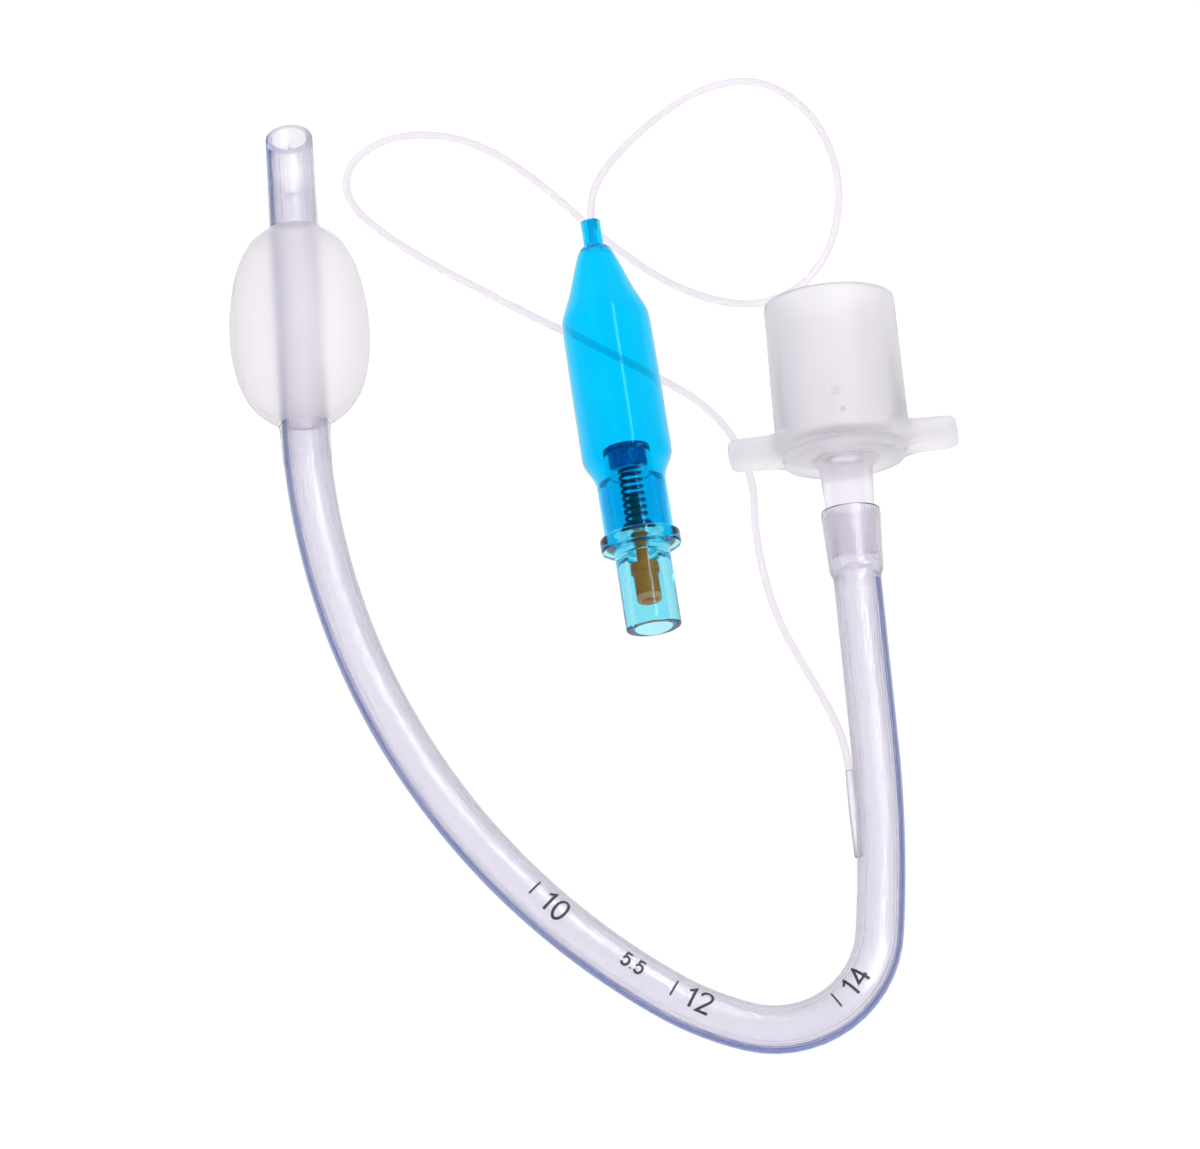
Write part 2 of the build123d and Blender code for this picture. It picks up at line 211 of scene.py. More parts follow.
class Finish(Enum):
    """Record slots that the dressed pieces take their finish from."""

    TUBE = "tube_shaft"
    STRIP = "radiopaque_line"
    CUFF = "cuff"
    CONNECTOR = "connector"
    BOND = "line_bond"
    LINE = "inflation_line"
    BALLOON = "pilot_balloon"
    HOUSING = "valve_housing"
    RETAINER = "valve_retainer"
    SPRING = "valve_spring"
    SEAL = "valve_seal"
    PLUNGER = "valve_plunger"


class Body(Enum):
    """Bodies of the frame that pieces ride on."""

    TUBE = "tube"
    PLUNGER = "plunger"


class Joining(Enum):
    """Ways in which a second object is worked into a piece."""

    ADD = "UNION"
    CUT = "DIFFERENCE"


class Socket(Enum):
    """Kinds of sockets on a shader group."""

    NUMBER = "NodeSocketFloat"
    COLOUR = "NodeSocketColor"


# ---- shader groups


def set_inputs(node: bpy.types.Node, values: dict[str, object]) -> None:
    """Set a node's inputs, by name, to constant values."""
    for name, value in values.items():
        node.inputs[name].default_value = value


class ShaderGroup:
    """A node group with named inputs and outputs, built once and placed in several materials."""

    def __init__(self, name: str) -> None:
        """Start an empty group.

        Args:
            name: Name of the group.
        """
        self.tree = bpy.data.node_groups.new(name, "ShaderNodeTree")
        self.entry = self.tree.nodes.new("NodeGroupInput")
        self.exit = self.tree.nodes.new("NodeGroupOutput")

    def takes(self, name: str, kind: Socket, value: object) -> None:
        """Add an input with its usual value."""
        socket = self.tree.interface.new_socket(name=name, in_out="INPUT", socket_type=kind.value)
        socket.default_value = value

    def gives(self, name: str, kind: Socket) -> None:
        """Add an output."""
        self.tree.interface.new_socket(name=name, in_out="OUTPUT", socket_type=kind.value)

    def node(self, kind: str, **settings: object) -> bpy.types.Node:
        """Add a node of a kind and set its properties.

        Args:
            kind: Blender's name of the node.
            **settings: Properties of the node.

        Returns:
            The new node.
        """
        node = self.tree.nodes.new(kind)
        for key, value in settings.items():
            setattr(node, key, value)
        return node

    def join(self, source: bpy.types.NodeSocket, target: bpy.types.NodeSocket) -> None:
        """Link two sockets of the group."""
        self.tree.links.new(source, target)


def surface_skin(name: str, drawn: bool) -> NodeTree:
    """Fine unevenness of a moulded or a drawn surface.

    Args:
        name: Name of the group.
        drawn: Whether the unevenness runs along the piece in streaks, as a die leaves it.

    Returns:
        A group with Color, Roughness and Height.
    """
    group = ShaderGroup(name)
    numbers = {"Scale": 600.0, "Speck Scale": 2600.0, "Roughness": 0.2, "Roughness Spread": 0.1}
    for title, value in numbers.items():
        group.takes(title, Socket.NUMBER, value)
    for title, grey in {"Tint": 0.8, "Deep Tint": 0.7}.items():
        group.takes(title, Socket.COLOUR, (grey, grey, grey, 1.0))
    group.gives("Color", Socket.COLOUR)
    group.gives("Roughness", Socket.NUMBER)
    group.gives("Height", Socket.NUMBER)
    asked, given = group.entry.outputs, group.exit.inputs
    if drawn:
        place = group.node("ShaderNodeAttribute", attribute_name=LIE).outputs["Vector"]
    else:
        place = group.node("ShaderNodeTexCoord").outputs["Object"]
    noises = []
    for title, detail in {"Scale": 4.0, "Speck Scale": 3.0}.items():
        noise = group.node("ShaderNodeTexNoise")
        noise.inputs["Detail"].default_value = detail
        group.join(place, noise.inputs["Vector"])
        group.join(asked[title], noise.inputs["Scale"])
        noises.append(noise.outputs["Fac"])
    patches, specks = noises
    mix = group.node("ShaderNodeMix", data_type="RGBA")
    spread = group.node("ShaderNodeMath", operation="MULTIPLY_ADD")
    height = group.node("ShaderNodeMath", operation="MULTIPLY_ADD")
    height.inputs[1].default_value = SPECK_HEIGHT
    for source, target in (
        (patches, mix.inputs["Factor"]), (asked["Tint"], mix.inputs["A"]),
        (asked["Deep Tint"], mix.inputs["B"]), (mix.outputs["Result"], given["Color"]),
        (specks, spread.inputs[0]), (asked["Roughness Spread"], spread.inputs[1]),
        (asked["Roughness"], spread.inputs[2]), (spread.outputs[0], given["Roughness"]),
        (specks, height.inputs[0]), (patches, height.inputs[2]), (height.outputs[0], given["Height"]),
    ):
        group.join(source, target)
    return group.tree


# ---- finishes


@dataclass(frozen=True)
class Plastic:
    """A plastic, rubber or metal finish with its own unevenness, and a painted glow where one is set."""

    name: str
    tint: Triple
    deep_tint: Triple
    roughness: float = 0.2
    spread: float = 0.08
    scale: float = 600.0
    bump: float = 0.0
    metallic: float = 0.0
    clear: float = 0.0
    ior: float = 1.5
    absorbs: Triple | None = None
    density: float = 0.0
    gleam: Triple = (1.0, 1.0, 1.0)
    # Painted glow: the finish gives off its own colour as light at this strength, though the piece is no lamp.
    painted_glow: float = 0.0

    def build(self, skin: NodeTree) -> Material:
        """Make the material.

        Args:
            skin: The shader group of its surface.

        Returns:
            The new material.
        """
        material = bpy.data.materials.new(self.name)
        material.use_nodes = True
        tree = material.node_tree
        shader = tree.nodes["Principled BSDF"]
        surface = tree.nodes.new("ShaderNodeGroup")
        surface.node_tree = skin
        set_inputs(surface, {
            "Scale": self.scale, "Speck Scale": self.scale * SPECKS_PER_PATCH,
            "Roughness": self.roughness, "Roughness Spread": self.spread,
            "Tint": (*self.tint, 1.0), "Deep Tint": (*self.deep_tint, 1.0),
        })
        set_inputs(shader, {
            "Metallic": self.metallic, "Transmission Weight": self.clear, "IOR": self.ior,
            "Specular Tint": (*self.gleam, 1.0),
        })
        tree.links.new(surface.outputs["Color"], shader.inputs["Base Color"])
        tree.links.new(surface.outputs["Roughness"], shader.inputs["Roughness"])
        # Painted glow: the surface colour is fed to the emission, which brightens the piece without any lamp.
        if self.painted_glow > 0:
            tree.links.new(surface.outputs["Color"], shader.inputs["Emission Color"])
            shader.inputs["Emission Strength"].default_value = self.painted_glow
        if self.bump > 0:
            bump = tree.nodes.new("ShaderNodeBump")
            set_inputs(bump, {"Strength": 1.0, "Distance": self.bump * MM})
            tree.links.new(surface.outputs["Height"], bump.inputs["Height"])
            tree.links.new(bump.outputs["Normal"], shader.inputs["Normal"])
        if self.absorbs is not None:
            depth = tree.nodes.new("ShaderNodeVolumeAbsorption")
            set_inputs(depth, {"Color": (*self.absorbs, 1.0), "Density": self.density})
            tree.links.new(depth.outputs["Volume"], tree.nodes["Material Output"].inputs["Volume"])
        return material


CLEAR_VINYL = Plastic(
    "clear_vinyl", (0.955, 0.94, 0.965), (0.88, 0.87, 0.915), roughness=0.04, spread=0.07, scale=3.2,
    bump=0.045, clear=1.0, absorbs=(0.70, 0.67, 0.79), density=300.0,
)
# Its glow is a painted glow that lightens the cut faces at the tip and the eye.
CUT_VINYL = Plastic(
    "cut_vinyl", (0.66, 0.66, 0.76), (0.56, 0.56, 0.69), roughness=0.3, spread=0.1, scale=900.0,
    clear=0.5, ior=1.3, painted_glow=0.06,
)
# Its glow is a painted glow that lightens the cuff film.
CUFF_FILM = Plastic(
    "cuff_film", (0.96, 0.935, 0.955), (0.935, 0.91, 0.94), roughness=0.34, scale=240.0,
    clear=0.88, ior=1.27, painted_glow=0.036,
)
SLEEVE_FILM = Plastic(
    "sleeve_film", (0.985, 0.98, 0.99), (0.97, 0.965, 0.98), roughness=0.05, scale=240.0,
    clear=1.0, ior=1.12,
)
# Its glow is a painted glow that lightens the connector's body.
FROSTED_SHELL = Plastic(
    "frosted_shell", (0.90, 0.88, 0.905), (0.875, 0.855, 0.885), roughness=0.42, spread=0.1, scale=520.0,
    bump=0.003, clear=0.84, ior=1.3, painted_glow=0.016, absorbs=(0.90, 0.885, 0.915), density=90.0,
)
# Its glow is a painted glow that lightens the spigot.
SPIGOT_SHELL = Plastic(
    "spigot_shell", (0.925, 0.90, 0.935), (0.905, 0.88, 0.92), roughness=0.26, scale=520.0,
    clear=0.95, ior=1.14, painted_glow=0.014,
)
LINE_VINYL = Plastic(
    "line_vinyl", (0.88, 0.83, 0.88), (0.85, 0.80, 0.86), roughness=0.3, spread=0.1, scale=900.0,
    clear=0.9, ior=1.22,
)
# Its glow is a painted glow that lightens the strip where it sits inside the tube's wall.
BLUE_STRIP = Plastic(
    "blue_strip", (0.14, 0.23, 0.58), (0.09, 0.16, 0.48), roughness=0.45, scale=900.0, painted_glow=0.34,
)
BALLOON_FILM = Plastic(
    "balloon_film", (0.02, 0.83, 0.99), (0.005, 0.70, 0.955), roughness=0.06, spread=0.06, scale=90.0,
    bump=0.006, clear=1.0, ior=1.36, gleam=(0.05, 0.2, 0.3), absorbs=(0.2, 0.88, 0.985), density=1300.0,
)
TURQUOISE_SHELL = Plastic(
    "turquoise_shell", (0.60, 0.92, 0.96), (0.54, 0.89, 0.94), roughness=0.04, spread=0.05, scale=520.0,
    bump=0.004, clear=1.0, ior=1.32, gleam=(0.3, 0.5, 0.75), absorbs=(0.35, 0.84, 0.94), density=300.0,
)
SMOKED_SHELL = Plastic(
    "smoked_shell", (0.50, 0.68, 0.84), (0.30, 0.50, 0.72), roughness=0.08, spread=0.06, scale=500.0,
    bump=0.006, clear=1.0, ior=1.45, absorbs=(0.1, 0.55, 0.78), density=900.0,
)
DRAWN_STEEL = Plastic(
    "drawn_steel", (0.035, 0.05, 0.12), (0.01, 0.02, 0.06), roughness=0.3, scale=2000.0, metallic=1.0,
)
DARK_RUBBER = Plastic(
    "dark_rubber", (0.012, 0.03, 0.10), (0.008, 0.02, 0.07), roughness=0.5, scale=1500.0, bump=0.004,
)
# Its glow is a painted glow that lightens the plunger, which sits dark inside the housing.
BROWN_MOULDING = Plastic(
    "brown_moulding", (0.60, 0.12, 0.002), (0.48, 0.08, 0.001), roughness=0.42, scale=1200.0, bump=0.006,
    painted_glow=0.28, gleam=(0.5, 0.3, 0.12),
)
# Its glow is a painted glow that lightens the plunger's end ring inside the housing.
PALE_MOULDING = Plastic(
    "pale_moulding", (0.70, 0.22, 0.07), (0.60, 0.18, 0.05), roughness=0.45, scale=1200.0, bump=0.006,
    painted_glow=0.4, gleam=(0.5, 0.35, 0.2),
)
BLACK_INK = Plastic(
    "black_ink", (0.012, 0.012, 0.016), (0.03, 0.03, 0.035), roughness=0.5, scale=3000.0,
)


# ---- mesh making


class Shell:
    """Vertices and faces of one piece while it is being made, in metres."""

    def __init__(self, name: str) -> None:
        """Start an empty piece.

        Args:
            name: Name of the piece.
        """
        self.name = name
        self.mesh = bmesh.new()
        self.lie = self.mesh.verts.layers.float_vector.new(LIE)

    def ring(self, points: Iterable[Vector]) -> list[bmesh.types.BMVert]:
        """Add a ring of vertices."""
        return [self.mesh.verts.new(point) for point in points]

    def bridge(self, first: list, second: list) -> None:
        """Join two rings of equal count with faces."""
        count = len(first)
        for index in range(count):
            after = (index + 1) % count
            self.mesh.faces.new((first[index], first[after], second[after], second[index]))

    def skin(self, rings: Sequence[Iterable[Vector]], closed: bool = False) -> list[list]:
        """Add rings and join each to the next.

        Args:
            rings: The rings in order, each of the same count of points.
            closed: Whether the last ring is joined to the first.

        Returns:
            The rings' vertices.
        """
        made = [self.ring(points) for points in rings]
        length = 0.0
        for first, second in zip(made, made[1:]):
            for vertex, (x, y) in zip(first, circle(len(first))):
                vertex[self.lie] = (STREAKS_ROUND * x, STREAKS_ROUND * y, length / STREAK_LENGTH)
            length += (second[0].co - first[0].co).length
            self.bridge(first, second)
        if closed:
            self.bridge(made[-1], made[0])
        return made

    def cap(self, ring: list, flip: bool = False) -> None:
        """Close a ring with one face."""
        self.mesh.faces.new(ring[::-1] if flip else ring)

    def finish(self, sharp: float = 35.0) -> Piece:
        """Turn the piece into an object with outward normals, smooth but for its sharp edges.

        Args:
            sharp: Angle in degrees from which an edge is left sharp.

        Returns:
            The new object, linked to the scene.
        """
        bmesh.ops.recalc_face_normals(self.mesh, faces=self.mesh.faces)
        for face in self.mesh.faces:
            face.smooth = True
        for edge in self.mesh.edges:
            if edge.is_manifold:
                edge.smooth = edge.calc_face_angle(0.0) < radians(sharp)
        data = bpy.data.meshes.new(self.name)
        self.mesh.to_mesh(data)
        self.mesh.free()
        piece = bpy.data.objects.new(self.name, data)
        bpy.context.scene.collection.objects.link(piece)
        return piece

    def rod(self, rings: Sequence[Iterable[Vector]], sharp: float) -> Piece:
        """Join rings to a rod, close it at both ends and finish it.

        Args:
            rings: The rings in order, each of the same count of points.
            sharp: Angle in degrees from which an edge is left sharp.

        Returns:
            The new object, linked to the scene.
        """
        made = self.skin(rings)
        self.cap(made[0])
        self.cap(made[-1], flip=True)
        return self.finish(sharp)


def circle(count: int) -> list[Point]:
    """Cosine and sine of evenly spaced angles."""
    return [(cos(2 * pi * index / count), sin(2 * pi * index / count)) for index in range(count)]


def shares(count: int) -> list[float]:
    """Even steps up to 1, without the 0."""
    return [step / count for step in range(1, count + 1)]


def axes(x_dir: Vector, y_dir: Vector, z_dir: Vector) -> Matrix:
    """Matrix that turns to three directions."""
    return Matrix((x_dir, y_dir, z_dir)).transposed().to_4x4()


def smooth_step(value: float) -> float:
    """Ease from 0 to 1."""
    value = min(max(value, 0.0), 1.0)
    return value * value * (3 - 2 * value)


def spline_through(points: Outline, steps: int) -> list[Point]:
    """Points of a smooth curve through the given points.

    Args:
        points: Points that the curve goes through.
        steps: Steps between one point and the next.

    Returns:
        The curve's points, the ends included.
    """
    padded = [points[0], *points, points[-1]]
    result = []
    for corners in zip(padded, padded[1:], padded[2:], padded[3:]):
        for step in range(steps):
            t = step / steps
            result.append(tuple(
                0.5 * (2 * b + (c - a) * t + (2 * a - 5 * b + 4 * c - d) * t**2
                       + (3 * b - a - 3 * c + d) * t**3)
                for a, b, c, d in zip(*corners)
            ))
    return [*result, points[-1]]


def rounded(outline: Outline, radius: float, steps: int = 4) -> list[Point]:
    """Closed outline with each corner rounded.

    Args:
        outline: Corners of the outline.
        radius: Largest radius, less where a side is short.
        steps: Steps in each corner.

    Returns:
        The outline with its corners drawn round.
    """
    result = []
    count = len(outline)
    for index, (x, y) in enumerate(outline):
        corner = Vector((x, y))
        before = Vector(outline[index - 1]) - corner
        after = Vector(outline[(index + 1) % count]) - corner
        if x == 0.0 or before.length < 1e-9 or after.length < 1e-9:
            result.append((x, y))
            continue
        reach = min(radius, before.length * 0.45, after.length * 0.45)
        start, end = corner + before.normalized() * reach, corner + after.normalized() * reach
        for step in range(steps + 1):
            t = step / steps
            result.append(tuple(start * (1 - t) ** 2 + corner * 2 * t * (1 - t) + end * t**2))
    return result


def dress(piece: Piece, material: Material, slot: Finish, body: Body,
          *nodes: str) -> Piece:
    """Give a piece its material, record slot and body, and say which nodes it stands for.

    Args:
        piece: The piece.
        material: Its material.
        slot: The record's slot that it takes its finish from.
        body: The body it rides on.
        *nodes: The nodes that it replaces.

    Returns:
        The piece.
    """
    if piece.data.materials:
        piece.data.materials[0] = material
    else:
        piece.data.materials.append(material)
    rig.ride(piece, body.value)
    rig.slot(piece, slot.value)
    if nodes:
        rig.replaces(piece, *nodes)
    log.info("%s rides on %s", piece.name, body.value)
    return piece


def squeeze(piece: Piece, material: Material, slot: Finish, start: Vector,
            end: Vector, *nodes: str) -> Piece:
    """Dress a piece that is squeezed between the tube's body and the plunger.

    Args:
        piece: The piece.
        material: Its material.
        slot: The record's slot that it takes its finish from.
        start: Point at the end that stays with the tube, in metres.
        end: Point at the end that goes with the plunger, in metres.
        *nodes: The nodes that it replaces.

    Returns:
        The piece.
    """
    piece.data.materials.append(material)
    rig.blend(piece, Body.TUBE.value, Body.PLUNGER.value, start, end)
    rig.slot(piece, slot.value)
    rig.replaces(piece, *nodes)
    log.info("%s is squeezed between %s and %s", piece.name, Body.TUBE.value, Body.PLUNGER.value)
    return piece


def join(piece: Piece, other: Piece, way: Joining) -> None:
    """Work another object into a piece, and drop the other.

    Args:
        piece: The piece that is kept.
        other: The object that is used up.
        way: Whether the other is added or cut out.
    """
    modifier = piece.modifiers.new("join", "BOOLEAN")
    modifier.operation = way.value
    modifier.solver = "EXACT"
    modifier.object = other
    graph = bpy.context.evaluated_depsgraph_get()
    graph.update()
    data = bpy.data.meshes.new_from_object(piece.evaluated_get(graph))
    piece.modifiers.clear()
    piece.data = data
    bpy.data.objects.remove(other)


# ---- the tube's line


@dataclass(frozen=True)
class TubeLine:
    """The tube's centreline: runs and arcs in one plane, laid on the bend, the cuff and the flange."""

    tip: Point = (-35.15, 53.22)
    heading: float = -86.43
    stretches: tuple[Point, ...] = (
        (34.9, inf),
        (84.4 * radians(55.97), 84.4),
        (35.2 * radians(16.3), 35.2),
        (11.9 * radians(100.8), 11.9),
        (148.7 * radians(8.5), 148.7),
        (19.5, inf),
    )
    radius: float = 2.75
    cuff_rise: float = 5.35
    cuff_station: float = 23.6
    flange_rise: float = 5.2

    @property
    def outlet(self) -> float:
        """Station where the tube begins to widen over the spigot."""
        return sum(length for length, radius in self.stretches)

    def flat(self, station: float) -> tuple[Vector, Vector]:
        """Point and heading in the tube's own plane, in millimetres.

        Args:
            station: Distance along the line from the tip.

        Returns:
            The point and the heading.
        """
        point, angle, left = Vector((*self.tip, 0)), radians(self.heading), station
        for number, (length, radius) in enumerate(self.stretches, start=1):
            step = left if number == len(self.stretches) else min(left, length)
            heading = Vector((cos(angle), sin(angle), 0))
            if radius == inf:
                point = point + heading * step
            else:
                side = Vector((-heading.y, heading.x, 0))
                turn = step / radius
                point = point + side * radius - (Matrix.Rotation(turn, 3, "Z") @ side) * radius
                angle += turn
            left -= step
            if left <= 0:
                break
        return point, Vector((cos(angle), sin(angle), 0))

    def lay(self, flange_station: float) -> Matrix:
        """Matrix that lays the tube's plane on its three supports, in millimetres.

        Args:
            flange_station: Station of the middle of the flange's rim.

        Returns:
            The matrix from the tube's plane to the part.
        """
        bend = min((self.flat(self.outlet * share / 400)[0] for share in range(401)), key=lambda p: p.y)
        cuff = self.flat(self.cuff_station)[0] - bend
        flange = self.flat(flange_station)[0] - bend
        area = cuff.x * flange.y - flange.x * cuff.y
        x_rise = (self.cuff_rise * flange.y - self.flange_rise * cuff.y) / area
        y_rise = (cuff.x * self.flange_rise - flange.x * self.cuff_rise) / area
        x_dir = Vector((sqrt(1 - x_rise**2), 0, x_rise))
        sideways = -y_rise * x_rise / x_dir.x
        y_dir = Vector((sideways, sqrt(1 - sideways**2 - y_rise**2), y_rise))
        origin = Vector((bend.x, bend.y, self.radius)) - x_dir * bend.x - y_dir * bend.y
        z_dir = x_dir.cross(y_dir)
        return Matrix.Translation(origin) @ axes(x_dir, y_dir, z_dir)


class LaidTube:
    """Places along the laid tube, in metres."""

    def __init__(self, line: TubeLine, flange_station: float) -> None:
        """Lay the line.

        Args:
            line: The tube's line.
            flange_station: Station of the middle of the flange's rim.
        """
        self.line = line
        self.matrix = line.lay(flange_station)

    def at(self, station: float, side: float = 0.0, up: float = 0.0) -> Vector:
        """Point at a station, beside the centreline towards the inside of the bend and above it."""
        point, heading = self.line.flat(station)
        left = Vector((-heading.y, heading.x, 0))
        return (self.matrix @ (point + left * side + Vector((0, 0, up)))) * MM

    def frame(self, station: float) -> Matrix:
        """Matrix in metres: X to the inside of the bend, Z towards the connector, Y up or down with them."""
        point, heading = self.line.flat(station)
        left = Vector((-heading.y, heading.x, 0))
        placed = self.matrix @ Matrix.Translation(point) @ axes(left, heading.cross(left), heading)
        placed.translation = placed.translation * MM
        return placed

    def ring(self, station: float, radius: float, count: int,
             lead: Callable[[float], float] | None = None) -> Ring:
        """Ring of points about the line.

        Args:
            station: Station of the ring.
            radius: Radius of the ring.
            count: Count of points.
            lead: Extra distance along the line for a point's height above the line.

        Returns:
            The ring's points.
        """
        return [
            self.at(station + (lead(radius * y) if lead else 0.0), radius * x, radius * y)
            for x, y in circle(count)
        ]

    def rings(self, spots: Iterable[Point], count: int) -> list[Ring]:
        """Rings about the line, one for each station and radius."""
        return [self.ring(station, radius, count) for station, radius in spots]


# ---- lathe work


def turned(name: str, place: Matrix, outline: Outline, count: int = 72, sharp: float = 35.0,
           oval: Callable[[float], float] | None = None) -> Piece:
    """Piece turned about an axis from a closed outline.

    Args:
        name: Name of the piece.
        place: Matrix in metres, its Z along the axis.
        outline: Closed outline of (radius, height) points in millimetres; points on the axis close the piece.
        count: Count of points round the axis.
        sharp: Angle in degrees from which an edge is left sharp.
        oval: Share of the radius that is left across the flattened way, by height.

    Returns:
        The new object.
    """
    shell = Shell(name)
    spots = circle(count)
    rings = []
    for radius, height in outline:
        flat = oval(height) if oval else 1.0
        if radius <= 1e-6:
            rings.append([shell.mesh.verts.new(place @ Vector((0, 0, height * MM)))])
        else:
            rings.append(shell.ring(
                place @ Vector((radius * x * MM, radius * y * flat * MM, height * MM)) for x, y in spots
            ))
    for first, second in zip(rings, rings[1:] + rings[:1]):
        if len(first) > 1 and len(second) > 1:
            shell.bridge(first, second)
        elif len(first) > 1 or len(second) > 1:
            point, ring = (first[0], second) if len(first) == 1 else (second[0], first)
            for index in range(count):
                shell.mesh.faces.new((ring[index], ring[(index + 1) % count], point))
    return shell.finish(sharp)


# ---- sub-assemblies


@dataclass
class Connector:
    """Cone, winged flange, disc and spigot, with the bore right through."""

    skin: NodeTree
    cone_length: float = 16.1
    rim_radius: float = 7.55
    base_radius: float = 7.75
    cone_taper: float = 40.0
    chamber_radius: float = 6.3
    chamber_floor: float = 1.4
    funnel: float = 1.2
    flange_radius: float = 7.95
    flange_thickness: float = 2.2
    wing_half_span: float = 13.2
    wing_root: float = 4.5
    wing_tip: float = 3.3
    wing_corner: float = 1.7
    wing_roll: float = -4.9
    disc_radius: float = 7.05
    disc_thickness: float = 1.0
    spigot_radius: float = 3.1
    spigot_end_radius: float = 2.4
    spigot_length: float = 11.6
    spigot_bore: float = 1.85
    spigot_fillet: float = 0.8
    edge: float = 0.35
    wing_round: float = 0.55
    gates: tuple[Triple, ...] = ((6.2, 0.08, 0.62), (3.95, 0.0, 0.34))
    gate_profile: tuple[Point, ...] = (
        (1.0, -0.12), (0.92, 0.05), (0.78, 0.10), (0.62, 0.06), (0.45, -0.02), (0.2, -0.03),
    )

    @property
    def flange_middle(self) -> float:
        """Height of the flange's middle above the disc's face."""
        return self.disc_thickness + self.flange_thickness / 2

    def spigot_outline(self) -> list[Point]:
        """Closed outline of the spigot."""
        bore, root = self.spigot_bore, self.disc_thickness * 0.6
        radius, fillet = self.spigot_radius, self.spigot_fillet
        outside = rounded([
            (bore, -self.spigot_length), (self.spigot_end_radius, -self.spigot_length),
            (radius, -fillet), (radius + 0.25, -0.24), (radius + fillet, 0.0),
        ], 0.25, 3)
        return [*outside[:-1], (radius + fillet, root), (bore, root)]

    def turned_outline(self) -> list[Point]:
        """Closed outline of the disc, the round plate and the cone."""
        base = self.disc_thickness
        cone_base = base + self.flange_thickness
        top = cone_base + self.cone_length
        floor = base + self.chamber_floor
        bore = self.spigot_bore
        return rounded([
            (bore + 0.01, 0.01), (self.disc_radius, 0.0), (self.disc_radius, base),
            (self.flange_radius, base), (self.flange_radius, cone_base), (self.base_radius, cone_base),
            (self.rim_radius, top), (self.chamber_radius, top), (self.chamber_radius, floor),
            (bore + self.funnel, floor), (bore + 0.01, floor - self.funnel),
        ], self.edge, 3)

    def wing_outline(self) -> list[Point]:
        """Outline of one wing, wide where it leaves the round plate."""
        tip, root, end = self.wing_half_span, self.wing_root, self.wing_tip
        slope = (root - end) / tip
        flare = [(5.6, 5.5), (6.7, 4.75), *((x, root - slope * x) for x in (7.9, 9.6)), (tip, end)]
        corners = [*((x, -y) for x, y in flare), *flare[::-1]]
        return rounded(corners, self.wing_corner, 6)

    def build_wing(self, place: Matrix, number: int, side: int) -> Piece:
        """Make one wing of the flange, with a rounded rim.

        Args:
            place: Matrix of the disc's face turned to the wings, in metres.
            number: Number of the wing.
            side: 1 for the wing at the inside of the bend, -1 for the other.

        Returns:
            The new object.
        """
        low, high = self.disc_thickness, self.disc_thickness + self.flange_thickness
        turns = [step * pi / 8 for step in range(5)]
        layers = [(self.wing_round * (1 - cos(turn)), self.wing_round * (1 - sin(turn))) for turn in turns]
        heights = [(low + rise, inset) for rise, inset in layers]
        heights += [(high - rise, inset) for rise, inset in layers[::-1]]
        middle = Vector((self.wing_half_span * 0.75, 0))
        spots = [Vector(corner) for corner in self.wing_outline()]
        rings = []
        for height, inset in heights:
            points = [spot + (middle - spot).normalized() * inset for spot in spots]
            rings.append([place @ Vector((point.x * side * MM, point.y * side * MM, height * MM))
                          for point in points])
        return Shell(f"connector_wing_{number}").rod(rings, 40.0)

    def build(self, tube: LaidTube, disc_station: float) -> None:
        """Make the connector and dress it.

        Args:
            tube: The laid tube.
            disc_station: Station of the disc's face.
        """
        place = tube.frame(disc_station)
        body = turned("connector_body", place, self.turned_outline(), 96)
        material = FROSTED_SHELL.build(self.skin)
        spigot = turned("connector_spigot", place, self.spigot_outline(), 72)
        dress(spigot, SPIGOT_SHELL.build(self.skin), Finish.CONNECTOR, Body.TUBE)
        rolled = place @ Matrix.Rotation(radians(self.wing_roll), 4, "Z")
        for number, side in enumerate((1, -1), start=1):
            join(body, self.build_wing(rolled, number, side), Joining.ADD)
        for polygon in body.data.polygons:
            polygon.material_index = 0
        dress(body, material, Finish.CONNECTOR, Body.TUBE, "connector")
        for number, gate in enumerate(self.gates, start=1):
            dress(self.gate_mark(place, number, *gate), material, Finish.CONNECTOR, Body.TUBE)

    def gate_mark(self, place: Matrix, number: int, height: float, turn: float, size: float) -> Piece:
        """Make a small round scar where the moulding was cut from its runner.

        Args:
            place: Matrix of the disc's face, in metres.
            number: Number of the mark.
            height: Height above the disc's face.
            turn: Angle round the cone from its top, in radians.
            size: Radius of the mark.

        Returns:
            The new object.
        """
        up = -1.0 if (place.to_3x3() @ Vector((0, 1, 0))).z < 0 else 1.0
        out = Vector((sin(turn), up * cos(turn), 0))
        rise = height - self.disc_thickness - self.flange_thickness
        base = self.base_radius - rise / (2 * self.cone_taper)
        along = Vector((0, 0, 1))
        across = along.cross(out)
        rings = []
        for share, lift in self.gate_profile:
            reach = size * share
            middle = out * (base + lift) + along * height
            rings.append([place @ ((middle + across * (x * reach) + along * (y * reach)) * MM)
                          for x, y in circle(20)])
        return Shell(f"connector_gate_mark_{number}").rod(rings, 60.0)


